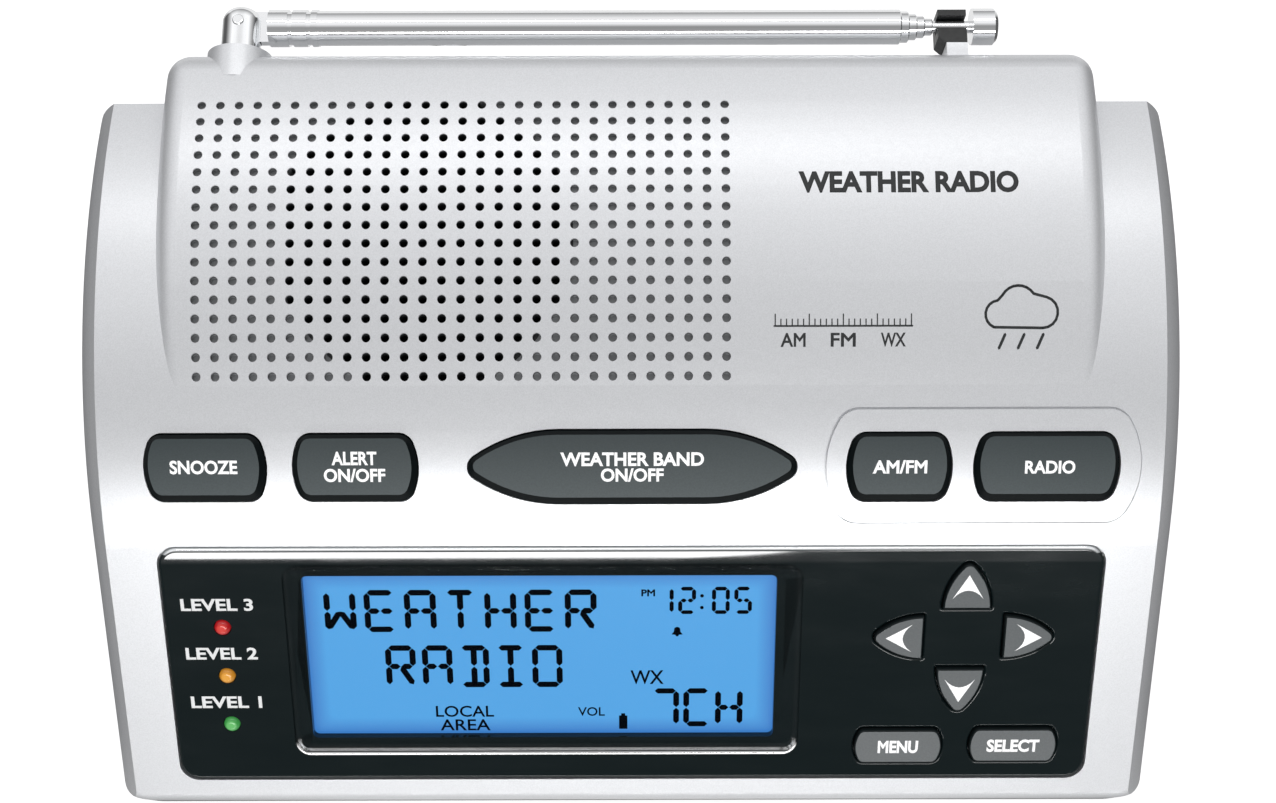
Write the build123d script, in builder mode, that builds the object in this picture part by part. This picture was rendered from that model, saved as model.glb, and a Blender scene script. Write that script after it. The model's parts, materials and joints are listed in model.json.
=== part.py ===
"""Desktop emergency radio: a satin cabinet with a telescopic antenna, in millimetres.

+X is the listener's right, +Y the rear and +Z up. The origin is under the middle of the radio,
on the surface it stands on.
"""

import os
from math import asin, cos, degrees, radians, sin, sqrt

from build123d import *

# Driving dimensions of the cabinet
half_width = 95.25
front_y = -67.2
wing_rear_y = 49.6
base_z = 2.0
wall = 2.3
crown_radius = 92.0
crown_y = 27.8
crown_z = -32.7
panel_slope = 36.0
shoulder_radius = 17.6
shoulder_start = 45.0
wing_corner_radius = 10.0
front_corner_radius = 7.0
front_edge_radius = 2.5

# Raised speaker housing, the hump
hump_half_width = 80.5
hump_rear_y = 57.5
hump_front_y = -12.0
hump_crest_y = 15.3
hump_rear_arc = (39.4, -29.55, 93.0)
hump_front_arc = (48.2, -62.4, 127.0)
hump_rear_rounding = 4.8
hump_corner_radius = 4.3
hump_edge_radius = 2.4

# Parting line between the two cabinet halves, which rises to the rear
parting_front_z = 7.0
parting_rear_z = 26.0
lip_height = 1.5
lip_thickness = 1.1
lip_gap = 0.12

# Clearances
key_gap = 0.25
panel_gap = 0.2
small_gap = 0.1
run_gap = 0.05

# Speaker grille
grille_columns = 29
grille_rows = 16
grille_pitch_x = 3.18
grille_pitch_y = 3.053
grille_centre = (-28.45, 23.3)
grille_hole_radius = 0.74
grille_blind_depth = 1.5
speaker_x = -34.8
speaker_y = 23.5
speaker_z = 54.9
speaker_tilt = 12.0
speaker_opening_radius = 25.8
speaker_radius = 27.0
speaker_screw_radius = 29.5
grille_open_radius = 25.0

# Control panel and display, as distances across and up the sloping panel
panel_width = 163.0
panel_height = 46.4
panel_centre_s = -23.1
panel_corner = 3.5
panel_top = 0.3
panel_back = -1.8
window_width = 157.0
window_s = (-43.7, -1.7)
frame_depth = 4.3
frame_x = (-84.5, 84.5)
frame_s = (-48.0, 2.6)
lens_x = (-60.3, 29.6)
lens_s = (-41.0, -3.2)
lens_top = 0.95
lens_back = -0.4
display_x = (-57.2, 25.2)
display_s = (-37.9, -5.6)
glass_x = (-60.5, 28.5)
glass_s = (-41.5, -3.3)
glass_depth = 3.0
led_x = -71.4
led_s = {"led_red": -15.2, "led_amber": -24.8, "led_green": -34.6}
led_radius = 1.4
led_top = 1.0
board_depth = 6.4
board_thickness = 1.6

# Keys: centre along the width, width and height
key_row_s = 14.5
key_sizes = {
    "snooze_key": (-72.0, 20.5, 11.6),
    "alert_key": (-46.6, 21.0, 11.6),
    "weather_key": (0.2, 56.4, 12.7),
    "band_key": (45.3, 17.6, 11.8),
    "radio_key": (70.2, 24.5, 11.8),
}
key_height = 1.1
key_bevel = 0.9
key_bevel_rise = 0.45
key_bevel_drop = 0.75
key_travel = 0.8
key_post_spread = 0.28
key_bulge = 1.6
key_flat = 0.22
key_tip_radius = 2.2
key_tip_excess = 0.85
island_x = 59.5
island_size = (53.1, 19.7)
island_height = 0.5
island_groove = 0.3

# Arrow keys: where the base's middle is, and which way the tip points
arrow_keys = {
    "up_key": (58.2, -11.6, 90.0),
    "down_key": (57.8, -23.5, 270.0),
    "left_key": (50.9, -17.3, 180.0),
    "right_key": (65.0, -17.2, 0.0),
}
arrow_width = 8.3
arrow_length = 9.0
arrow_tip_radius = 1.3
arrow_corner_radius = 0.9
small_key_gap = 0.2
small_key_rim = 0.5
key_board_x = 39.0
pill_keys = {"menu_key": (47.6, -39.3), "select_key": (68.2, -39.1)}
pill_size = (15.6, 6.7)
small_key_top = 0.95
small_key_travel = 0.6

# Antenna
antenna_y = 63.7
antenna_z = 57.1
swivel_x = -68.4
boss_radius = 5.65
boss_end_y = 58.1
knuckle_radius = 3.45
knuckle_start_y = 58.3
knuckle_end_y = 67.2
spigot_radius = 1.95
spigot_end_y = 52.2
tilt_pin_radius = 1.0
blade_thickness = 1.5
tube_start_x = -63.4
tube_end_x = 47.5
tube_radius = 3.05
tube_bore = 2.8
section_radii = (2.75, 2.3, 1.95, 1.5)
section_step = 1.4
section_start_x = -56.0
rod_radius = 1.1
rod_end_x = 60.0
cap_radius = 3.2
cap_end_x = 64.4
clip_x = (53.9, 58.9)
clip_slot_width = 2.4

# Base, battery bay and battery door
foot_radius = 5.0
foot_height = base_z + 0.6
foot_places = [(-74, -56), (74, -56), (-72, 40), (72, 40)]
case_screw_places = [(-86, -38), (86, -38), (-86, 39), (86, 39)]
column_radius = 3.6
screw_radius = 1.4
screw_head_radius = 2.8
screw_well_radius = 3.2
screw_seat_z = base_z + 2.4
bay_x = 30.3
bay_y = (-36.8, 32.3)
bay_top_z = 19.8
bay_wall = 1.4
door_x = 30.0
door_front_y = -36.5
door_pivot_y = 29.1
door_thickness = 1.8
door_pivot_z = base_z + door_thickness / 2
cell_radius = 7.2
cell_length = 49.2
cell_z = 11.6
cell_places = [-26.5, -11.5, 3.5, 18.5]

# Main board, jacks and rear controls
main_board_z = 24.0
main_board_x = 76.0
main_board_y = (-6.0, 54.0)
board_post_places = [(-70, 0), (70, 0), (-70, 44), (70, 44)]
board_post_radius = 3.2
board_post_length = main_board_z - base_z - 1
jack_z = 15.0
inner_rear_y = hump_rear_y - wall
volume_x = 54.0
volume_y = 49.0
volume_radius = 10.2
volume_z = (13.2, 16.8)
switch_x = 27.0
switch_travel = 4.0

rear_openings = {
    "dc_jack": (-58.0, 4.3),
    "antenna_jack": (-36.0, 4.6),
    "alert_jack": (-16.0, 3.0),
    "earphone_jack": (2.0, 3.0),
}


def slope_point(s):
    """The surface point, and its slope, at distance s up the surface from the panel's top."""
    angle = radians(panel_slope) - max(s, 0) / crown_radius
    y = crown_y - crown_radius * sin(angle) + min(s, 0) * cos(angle)
    z = crown_z + crown_radius * cos(angle) + min(s, 0) * sin(angle)
    return y, z, angle


def surface_plane(x, s):
    """A plane lying on the surface: its X runs across, its Y up the surface, its Z out of it."""
    y, z, angle = slope_point(s)
    return Plane(origin=(x, y, z), x_dir=(1, 0, 0), z_dir=(0, -sin(angle), cos(angle)))


panel_plane = surface_plane(0, 0)
key_plane = surface_plane(0, key_row_s)
speaker_plane = Plane(
    origin=(speaker_x, speaker_y, speaker_z),
    x_dir=(1, 0, 0),
    z_dir=(0, -sin(radians(speaker_tilt)), cos(radians(speaker_tilt))),
)
antenna_plane = Plane(origin=(0, antenna_y, antenna_z), x_dir=(0, 1, 0), z_dir=(1, 0, 0))
parting_rise = (parting_rear_z - parting_front_z) / (hump_rear_y - front_y)
parting_plane = Plane(
    origin=(0, front_y, parting_front_z), x_dir=(1, 0, 0), z_dir=(0, -parting_rise, 1)
)


def rear_plane(x, z, y):
    """A plane facing the rear: its Z points along +Y."""
    return Plane(origin=(x, y, z), x_dir=(-1, 0, 0), z_dir=(0, 1, 0))


def save(part, label):
    """Labels a finished piece and writes its STEP file."""
    part.label = label
    export_step(part, f"parts/{label}.step")


def body_envelope(inset):
    """The wings, shoulders and sloping front, moved inwards by inset."""
    side = half_width - inset
    top = crown_radius - inset
    arc_centre_x = half_width - shoulder_radius
    arc_centre_r = crown_radius - shoulder_radius * cos(radians(shoulder_start))
    arc_radius = shoulder_radius - inset
    rise = top - arc_centre_r
    edge = arc_centre_x + sqrt(arc_radius**2 - rise**2)
    middle = radians((90 - degrees(asin(rise / arc_radius))) / 2 + 45)
    mid_x = arc_centre_x + arc_radius * sin(middle)
    mid_r = arc_centre_r + arc_radius * cos(middle)
    low = 15.0
    section = Plane(
        origin=(0, crown_y, crown_z),
        x_dir=(1, 0, 0),
        z_dir=(0, -cos(radians(panel_slope)), -sin(radians(panel_slope))),
    )
    with BuildPart() as envelope:
        with BuildSketch(section) as profile:
            with BuildLine():
                Polyline((-side, arc_centre_r), (-side, low), (side, low), (side, arc_centre_r))
                ThreePointArc((side, arc_centre_r), (mid_x, mid_r), (edge, top))
                Line((edge, top), (-edge, top))
                ThreePointArc((-edge, top), (-mid_x, mid_r), (-side, arc_centre_r))
            make_face()
        extrude(amount=75)
        revolve(profile.sketch, Axis((0, crown_y, crown_z), (-1, 0, 0)), revolution_arc=78)
        front = front_y + inset
        depth = wing_rear_y - inset - front
        with BuildSketch(Plane.XY.offset(base_z + inset)):
            with Locations((0, front + depth / 2)):
                outline = Rectangle(2 * side, depth)
            corners = outline.vertices().group_by(Axis.Y)
            fillet(corners[0], max(front_corner_radius - inset, 0.6))
            fillet(corners[-1], wing_corner_radius - inset)
        extrude(amount=80, mode=Mode.INTERSECT)
        if inset == 0:
            fillet(envelope.edges().filter_by(is_front_edge), front_edge_radius)
    return envelope.part


def is_front_edge(edge):
    """Whether an edge is where the sloping panel meets the front wall."""
    middle = edge.center()
    return abs(middle.Y - front_y) < 0.1 and middle.Z > base_z + 1 and abs(middle.X) < 1


def hump_envelope(inset):
    """The raised speaker housing, moved inwards by inset."""
    rear_y, rear_z, rear_radius = hump_rear_arc
    fore_y, fore_z, fore_radius = hump_front_arc
    rear_radius = rear_radius - inset
    fore_radius = fore_radius - inset
    rounding = hump_rear_rounding - inset
    rear = hump_rear_y - inset
    low = base_z + inset

    def rear_arc(y):
        return y, rear_z + sqrt(rear_radius**2 - (y - rear_y) ** 2)

    def fore_arc(y):
        return y, fore_z + sqrt(fore_radius**2 - (y - fore_y) ** 2)

    reach = rear_radius - rounding
    round_y = rear - rounding
    round_z = rear_z + sqrt(reach**2 - (round_y - rear_y) ** 2)
    touch_y = rear_y + (round_y - rear_y) * rear_radius / reach
    turn = (asin((touch_y - rear_y) / rear_radius) + radians(90)) / 2
    round_middle = (round_y + rounding * sin(turn), round_z + rounding * cos(turn))
    crest = rear_arc(hump_crest_y)
    with BuildPart() as envelope:
        with BuildSketch(Plane.YZ):
            with BuildLine():
                Polyline((rear, round_z), (rear, low), (hump_front_y, low), fore_arc(hump_front_y))
                ThreePointArc(fore_arc(hump_front_y), fore_arc(0), crest)
                ThreePointArc(crest, rear_arc(rear_y), rear_arc(touch_y))
                ThreePointArc(rear_arc(touch_y), round_middle, (rear, round_z))
            make_face()
        extrude(amount=hump_half_width - inset, both=True)
        upright = envelope.edges().filter_by(Axis.Z).group_by(Axis.Y)[-1]
        fillet(upright, hump_corner_radius - inset)
        if inset == 0:
            rim = envelope.edges().filter_by(lambda e: e.center().Z > 40 and not on_middle(e))
            fillet(rim, hump_edge_radius)
    return envelope.part


def on_middle(edge):
    """Whether an edge of the hump runs straight across, or up, rather than along its rim."""
    return edge.geom_type == GeomType.LINE


def envelope(inset):
    """The whole cabinet's outer shape, moved inwards by inset."""
    with BuildPart() as whole:
        add(body_envelope(inset))
        add(hump_envelope(inset))
    return whole.part


def key_outline(width, height):
    """A flat-topped key outline with bulging ends, or the long key's pointed oval."""
    with BuildSketch() as outline:
        with BuildLine():
            if width > 3 * height:
                rise = height / 2
                flat = key_flat * width
                reach = width / 2 + key_tip_excess
                radius = ((reach - flat) ** 2 + rise**2) / (2 * rise)
                turn = asin((reach - flat) / radius) / 2
                shoulder = (flat + radius * sin(turn), rise - radius * (1 - cos(turn)))
                for end in (1, -1):
                    for side in (1, -1):
                        ThreePointArc(
                            (end * flat, side * rise),
                            (end * shoulder[0], side * shoulder[1]),
                            (end * reach, 0),
                        )
                Line((-flat, rise), (flat, rise))
                Line((-flat, -rise), (flat, -rise))
            else:
                corner = width / 2 - key_bulge
                for end in (1, -1):
                    top = (end * corner, height / 2)
                    ThreePointArc(top, (end * width / 2, 0), (end * corner, -height / 2))
                Line((-corner, height / 2), (corner, height / 2))
                Line((-corner, -height / 2), (corner, -height / 2))
        make_face()
        if width > 3 * height:
            tips = outline.vertices().sort_by(Axis.X)
            fillet([tips[0], tips[-1]], key_tip_radius)
        else:
            fillet(outline.vertices(), height * 0.22)
    return outline.sketch


def arrow_outline(direction):
    """A petal-shaped key outline, its base's middle at the origin."""
    half = arrow_width / 2
    with BuildSketch() as outline:
        with BuildLine():
            Line((0, -half), (0, half))
            ThreePointArc((0, half), (arrow_length * 0.5, half * 0.78), (arrow_length, 0))
            ThreePointArc((arrow_length, 0), (arrow_length * 0.5, -half * 0.78), (0, -half))
        make_face()
        corners = outline.vertices().sort_by(Axis.X)
        fillet(corners[-1], arrow_tip_radius)
        fillet(corners[:-1], arrow_corner_radius)
    return outline.sketch.rotate(Axis.Z, direction)


def pill_outline():
    """The outline of the two lower keys of the panel."""
    width, height = pill_size
    with BuildSketch() as outline:
        with BuildLine():
            for end in (1, -1):
                corner = end * (width / 2 - 1.1)
                ThreePointArc((corner, height / 2), (end * width / 2, 0), (corner, -height / 2))
            Line((1.1 - width / 2, height / 2), (width / 2 - 1.1, height / 2))
            Line((1.1 - width / 2, -height / 2), (width / 2 - 1.1, -height / 2))
        make_face()
        fillet(outline.vertices(), 1.3)
    return outline.sketch


def small_keys():
    """Each panel key's place across and up the panel, and its outline."""
    keys = {}
    for name, (x, s, direction) in arrow_keys.items():
        keys[name] = (x, s, arrow_outline(direction))
    for name, (x, s) in pill_keys.items():
        keys[name] = (x, s, pill_outline())
    return keys


def lay(plane, x, s, outline, grow=0.0):
    """An outline on a plane at (x, s), grown all round."""
    with BuildSketch(plane) as sketch:
        with Locations((x, s)):
            add(outline)
        if grow:
            offset(amount=grow)
    return sketch.sketch


def lay_box(plane, x_range, s_range, corner=0.0):
    """A rectangle between two limits each way on a plane."""
    with BuildSketch(plane) as sketch:
        with Locations((sum(x_range) / 2, sum(s_range) / 2)):
            Rectangle(x_range[1] - x_range[0], s_range[1] - s_range[0])
        if corner:
            fillet(sketch.vertices(), corner)
    return sketch.sketch


def slab(plane, x_range, s_range, thickness, corner=0.0, mode=Mode.ADD):
    """A plate standing on a plane between two limits each way."""
    extrude(lay_box(plane, x_range, s_range, corner), amount=thickness, mode=mode)


def pegs(plane, places, radius, length, mode=Mode.ADD):
    """Round pegs, or holes, at several places on a plane."""
    with BuildSketch(plane) as discs:
        with Locations(*places):
            Circle(radius)
    extrude(discs.sketch, amount=length, mode=mode)


def solid_box(x_range, y_range, z_range, mode=Mode.ADD):
    """A block between two limits each way."""
    centre = [sum(limits) / 2 for limits in (x_range, y_range, z_range)]
    size = [limits[1] - limits[0] for limits in (x_range, y_range, z_range)]
    with Locations(tuple(centre)):
        Box(*size, mode=mode)


def rod(plane, radius, length, mode=Mode.ADD):
    """A round bar from a plane's origin along its Z."""
    with BuildSketch(plane) as disc:
        Circle(radius)
    extrude(disc.sketch, amount=length, mode=mode)


def outer_face(builder, plane):
    """The face of a part that stands furthest out of a plane."""
    return builder.faces().sort_by(Axis(plane.origin, plane.z_dir))[-1]


def screw_end_z(y):
    """How high a case screw's pilot hole reaches: further at the rear, where the case is deep."""
    return 26.0 if y < 0 else 38.0


def case_columns(side):
    """The four screw columns of one cabinet half, cut to its inside and to the parting line."""
    with BuildPart() as columns:
        with BuildSketch(Plane.XY.offset(base_z + 1)):
            with Locations(*case_screw_places):
                Circle(column_radius)
        extrude(amount=60)
        add(envelope(0.8), mode=Mode.INTERSECT)
        split(bisect_by=parting_plane, keep=side)
    return columns.part


def grille_holes(over_speaker):
    """The grille's holes: open over the speaker, and blind beside it."""
    places = []
    for column in range(grille_columns):
        x = grille_centre[0] + (column - (grille_columns - 1) / 2) * grille_pitch_x
        for row in range(grille_rows):
            y = grille_centre[1] + (row - (grille_rows - 1) / 2) * grille_pitch_y
            reach = sqrt((x - speaker_x) ** 2 + (y - grille_centre[1]) ** 2)
            if (reach < grille_open_radius) == over_speaker:
                places.append((x, y))
    with BuildPart() as holes:
        with BuildSketch(Plane.XY.offset(46)):
            with Locations(*places):
                Circle(grille_hole_radius)
        extrude(amount=24)
        if not over_speaker:
            add(envelope(grille_blind_depth), mode=Mode.SUBTRACT)
    return holes.part


def speaker_screw_places():
    """The speaker's four screws, on the speaker plane."""
    reach = speaker_screw_radius * sqrt(0.5)
    return [(x, y) for x in (-reach, reach) for y in (-reach, reach)]


def speaker_seat():
    """The ring and the four bosses under the grille that the speaker screws to."""
    with BuildPart() as seat:
        with BuildSketch(speaker_plane):
            Circle(speaker_radius)
            Circle(speaker_opening_radius, mode=Mode.SUBTRACT)
        extrude(amount=14)
        pegs(speaker_plane.offset(-1), speaker_screw_places(), 2.4, 15)
        add(envelope(0.8), mode=Mode.INTERSECT)
        pegs(speaker_plane.offset(-1), speaker_screw_places(), 1.3, 5, Mode.SUBTRACT)
    return seat.part


def key_island(grow=0.0):
    """The slightly raised pad round the last two keys of the row, grown sideways by grow."""
    width, height = island_size
    with BuildPart() as island:
        with BuildSketch(key_plane.offset(-1.2)) as outline:
            with BuildLine():
                corner = width / 2 - 3.4
                for end in (1, -1):
                    top = (island_x + end * corner, height / 2)
                    middle = (island_x + end * width / 2, 0)
                    ThreePointArc(top, middle, (island_x + end * corner, -height / 2))
                for y in (height / 2, -height / 2):
                    Line((island_x - corner, y), (island_x + corner, y))
            make_face()
            fillet(outline.vertices(), 4.0)
            offset(amount=grow)
        extrude(amount=6)
        add(envelope(-island_height), mode=Mode.INTERSECT)
    return island.part


def island_gap():
    """The shallow groove that runs round the pad."""
    with BuildPart() as gap:
        add(key_island(island_groove))
        add(envelope(island_groove), mode=Mode.SUBTRACT)
    return gap.part


def make_top_housing():
    """The silver upper cabinet: wings, hump with grille, key openings and panel recess."""
    with BuildPart() as top_housing:
        add(envelope(0))
        add(envelope(wall), mode=Mode.SUBTRACT)
        split(bisect_by=parting_plane, keep=Keep.TOP)
        add(island_gap(), mode=Mode.SUBTRACT)
        add(key_island())
        slab(panel_plane.offset(-frame_depth), frame_x, frame_s, frame_depth - 1, 4)
        add(case_columns(Keep.TOP))
        add(speaker_seat())
        # Antenna boss and the stub that carries the antenna clip
        rod(rear_plane(swivel_x, antenna_z, spigot_end_y), boss_radius, boss_end_y - spigot_end_y)
        solid_box((55.2, 58.9), (inner_rear_y + 0.5, 59.6), (53.9, 59.4))
        bore = rear_plane(swivel_x, antenna_z, spigot_end_y - 1)
        rod(bore, spigot_radius + run_gap, 12, Mode.SUBTRACT)
        rod(rear_plane(57.05, 56.0, 56.5), 1.2, 4, Mode.SUBTRACT)
        # Panel recess and the window behind it
        recess_x = (-panel_width / 2 - panel_gap, panel_width / 2 + panel_gap)
        recess_s = [panel_centre_s + end * (panel_height / 2 + panel_gap) for end in (-1, 1)]
        slab(panel_plane.offset(panel_back), recess_x, recess_s, 6, panel_corner, Mode.SUBTRACT)
        window_x = (-window_width / 2, window_width / 2)
        slab(panel_plane.offset(-8), window_x, window_s, 8, 2, Mode.SUBTRACT)
        for x, width, height in key_sizes.values():
            opening = lay(key_plane.offset(-8), x, 0, key_outline(width, height), key_gap)
            extrude(opening, amount=14, mode=Mode.SUBTRACT)
        add(grille_holes(True), mode=Mode.SUBTRACT)
        add(grille_holes(False), mode=Mode.SUBTRACT)
        for x, y in case_screw_places:
            pilot = Plane(origin=(x, y, base_z))
            rod(pilot, screw_radius + small_gap, screw_end_z(y) - base_z, Mode.SUBTRACT)
    save(top_housing.part, "top_housing")


def housing_lip():
    """The tongue inside the parting line, which rises behind the upper cabinet's wall."""
    with BuildPart() as lip:
        add(envelope(wall - 0.1))
        add(envelope(wall + lip_thickness), mode=Mode.SUBTRACT)
        split(bisect_by=parting_plane, keep=Keep.BOTTOM)
        split(bisect_by=parting_plane.offset(-4), keep=Keep.TOP)
    with BuildPart() as tongue:
        add(envelope(wall + lip_gap))
        add(envelope(wall + lip_thickness), mode=Mode.SUBTRACT)
        split(bisect_by=parting_plane.offset(-1), keep=Keep.TOP)
        split(bisect_by=parting_plane.offset(lip_height), keep=Keep.BOTTOM)
    with BuildPart() as both:
        add(lip.part)
        add(tongue.part)
    return both.part


def make_bottom_housing():
    """The grey lower cabinet: floor, battery bay, posts, and the openings of the rear wall."""
    floor_z = base_z + wall
    with BuildPart() as bottom_housing:
        add(envelope(0))
        add(envelope(wall), mode=Mode.SUBTRACT)
        split(bisect_by=parting_plane, keep=Keep.BOTTOM)
        add(housing_lip())
        add(case_columns(Keep.BOTTOM))
        pegs(Plane.XY.offset(base_z + 1), board_post_places, board_post_radius, board_post_length)
        bay_outer_y = (bay_y[0] - bay_wall, bay_y[1] + bay_wall)
        bay_outer_x = (-bay_x - bay_wall, bay_x + bay_wall)
        solid_box(bay_outer_x, bay_outer_y, (base_z + 1, bay_top_z + bay_wall))
        solid_box((-bay_x, bay_x), bay_y, (floor_z, bay_top_z), Mode.SUBTRACT)
        door_y = (door_front_y - 0.3, door_pivot_y + door_thickness / 2 + 0.3)
        solid_box((-bay_x, bay_x), door_y, (0, floor_z + 1), Mode.SUBTRACT)
        pegs(Plane.XY, foot_places, foot_radius + small_gap, foot_height, Mode.SUBTRACT)
        pegs(Plane.XY.offset(main_board_z - 9), board_post_places, 1.3, 10, Mode.SUBTRACT)
        pegs(Plane.XY, case_screw_places, screw_radius + 0.2, 40, Mode.SUBTRACT)
        pegs(Plane.XY, case_screw_places, screw_well_radius, screw_seat_z, Mode.SUBTRACT)
        for name, (x, radius) in rear_openings.items():
            rod(rear_plane(x, jack_z, 50), radius + 0.3, 10, Mode.SUBTRACT)
        slot = (volume_x - 8.6, volume_x + 8.6)
        solid_box(slot, (53.5, 60), (volume_z[0] - 0.6, volume_z[1] + 0.6), Mode.SUBTRACT)
        slot = (switch_x - 2.4, switch_x + 2.4 + switch_travel)
        solid_box(slot, (53.5, 60), (jack_z - 2, jack_z + 2), Mode.SUBTRACT)
    save(bottom_housing.part, "bottom_housing")


def make_control_panel():
    """The gloss black panel with its display window, lens seat, lamp holes and key openings."""
    half = panel_width / 2
    back = panel_plane.offset(panel_back)
    s_range = (panel_centre_s - panel_height / 2, panel_centre_s + panel_height / 2)
    with BuildPart() as control_panel:
        slab(back, (-half, half), s_range, panel_top - panel_back, panel_corner)
        fillet(outer_face(control_panel, panel_plane).edges(), 0.8)
        slab(back, display_x, display_s, 4, 1, Mode.SUBTRACT)
        seat_x = (lens_x[0] - small_gap, lens_x[1] + small_gap)
        seat_s = (lens_s[0] - small_gap, lens_s[1] + small_gap)
        slab(panel_plane.offset(lens_back), seat_x, seat_s, 2, 3, Mode.SUBTRACT)
        lamp_places = [(led_x, s) for s in led_s.values()]
        pegs(back, lamp_places, led_radius + 0.15, 4, Mode.SUBTRACT)
        for x, s, outline in small_keys().values():
            extrude(lay(back, x, s, outline, small_key_gap), amount=4, mode=Mode.SUBTRACT)
        for rim in outer_face(control_panel, panel_plane).inner_wires():
            if rim.center().X > key_board_x:
                fillet(rim.edges(), small_key_rim)
    save(control_panel.part, "control_panel")


def make_display_lens():
    """The clear lens that stands proud of the panel over the display."""
    with BuildPart() as display_lens:
        slab(panel_plane.offset(lens_back), lens_x, lens_s, lens_top - lens_back, 2.9)
        fillet(outer_face(display_lens, panel_plane).edges(), 0.55)
    save(display_lens.part, "display_lens")


def make_display():
    """The display glass and the backlight frame behind it."""
    with BuildPart() as lcd_glass:
        slab(panel_plane.offset(-glass_depth), glass_x, glass_s, 1.1)
    save(lcd_glass.part, "lcd_glass")
    with BuildPart() as lcd_backlight:
        slab(panel_plane.offset(-board_depth), glass_x, glass_s, board_depth - glass_depth, 1)
        pocket_x = (glass_x[0] + 1.5, glass_x[1] - 1.5)
        pocket_s = (glass_s[0] + 1.5, glass_s[1] - 1.5)
        slab(panel_plane.offset(-3.6), pocket_x, pocket_s, 1, 0, Mode.SUBTRACT)
    save(lcd_backlight.part, "lcd_backlight")


def make_boards():
    """The display board, the key board and the main board with its chips and shield."""
    with BuildPart() as display_board:
        back = panel_plane.offset(-board_depth - board_thickness)
        slab(back, (-76, 76), (-41.8, -3.0), board_thickness)
        holes = [(x, s) for x in (-66, 34) for s in (-39.0, -5.5)]
        pegs(back, holes, 1.6, board_thickness, Mode.SUBTRACT)
    save(display_board.part, "display_board")

    with BuildPart() as key_board:
        slab(key_plane.offset(-9.4), (-83, 83), (-8.5, 8.0), board_thickness, 1)
    save(key_board.part, "key_board")

    with BuildPart() as main_board:
        rim_x = (-main_board_x, main_board_x)
        level = Plane.XY.offset(main_board_z)
        slab(level, rim_x, main_board_y, board_thickness, 2)
        pegs(level, board_post_places, 1.5, board_thickness, Mode.SUBTRACT)
    save(main_board.part, "main_board")

    top = main_board_z + board_thickness
    chips = [(-52, 8, 12, 12, 1.6), (-22, 4, 9, 6, 1.4), (4, 2, 14, 5, 2.2), (20, 44, 7, 7, 1.2)]
    cans = [(-60, 30, 4.0, 11), (-50, 36, 3.2, 8), (34, 2, 3.2, 8), (-62, 44, 2.6, 6)]
    with BuildPart() as board_chips:
        for x, y, width, depth, height in chips:
            slab(Plane((x, y, top)), (-width / 2, width / 2), (-depth / 2, depth / 2), height)
    save(board_chips.part, "board_chips")
    with BuildPart() as capacitors:
        for x, y, radius, height in cans:
            rod(Plane(origin=(x, y, top)), radius, height)
        ends = capacitors.faces().filter_by(Axis.Z).filter_by(lambda face: face.center().Z > top + 1)
        fillet(ends.edges(), 0.5)
    save(capacitors.part, "capacitors")

    with BuildPart() as tuner_shield:
        solid_box((36, 68), (14, 40), (top, top + 6))
        fillet(tuner_shield.edges().filter_by(Axis.Z), 1)
        solid_box((36.5, 67.5), (14.5, 39.5), (top - 1, top + 5.5), Mode.SUBTRACT)
        tuning_holes = [(x, y) for x in (44, 52, 60) for y in (23, 31)]
        pegs(Plane.XY.offset(top), tuning_holes, 1.2, 8, Mode.SUBTRACT)
    save(tuner_shield.part, "tuner_shield")


def key_post_places():
    """Where each key of the row stands on the mat: two posts a key."""
    places = []
    for x, width, height in key_sizes.values():
        places.append((x - key_post_spread * width, 0))
        places.append((x + key_post_spread * width, 0))
    return places


def make_key_mats():
    """The rubber mats whose domes lift the keys: one under the row, one under the panel keys."""
    with BuildPart() as row_mat:
        slab(key_plane.offset(-7.8), (-83, 83), (-8.2, 7.8), 0.9, 1)
        with BuildSketch(key_plane.offset(-6.9)):
            with Locations(*key_post_places()):
                Circle(2.4)
        extrude(amount=1.3, taper=25)
    save(row_mat.part, "row_mat")
    with BuildPart() as panel_mat:
        slab(panel_plane.offset(-board_depth), (39.2, 77.2), (-43.2, -3.4), 0.8, 1)
        for x, s, outline in small_keys().values():
            extrude(lay(panel_plane.offset(0.8 - board_depth), x, s, outline, -1.6), amount=0.9, taper=15)
    save(panel_mat.part, "panel_mat")


def make_lamps():
    """The three indicator lamps: domed LEDs standing on the display board."""
    for name, s in led_s.items():
        with BuildPart() as lamp:
            seat = surface_plane(led_x, s).offset(-board_depth)
            rod(seat, led_radius + 0.4, 1.0)
            rod(seat, led_radius, board_depth + led_top)
            fillet(outer_face(lamp, panel_plane).edges(), 0.9)
        save(lamp.part, name)


def make_large_keys():
    """The five keys of the row, each with a bevelled cap, a flange and two posts."""
    side_top = key_height - key_bevel_drop
    for name, (x, width, height) in key_sizes.items():
        outline = key_outline(width, height)
        posts = [(x + way * key_post_spread * width, 0) for way in (-1, 1)]
        with BuildPart() as key:
            extrude(lay(key_plane.offset(-3.9), x, 0, outline, 0.8), amount=1.0)
            bevel_start = lay(key_plane.offset(side_top), x, 0, outline)
            bevel_end = lay(key_plane.offset(key_height), x, key_bevel_rise, outline, -key_bevel)
            extrude(lay(key_plane.offset(-2.95), x, 0, outline), amount=2.95 + side_top)
            loft([bevel_start.face(), bevel_end.face()])
            pegs(key_plane.offset(-5.5), posts, 1.6, 1.7)
        save(key.part, name)


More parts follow.
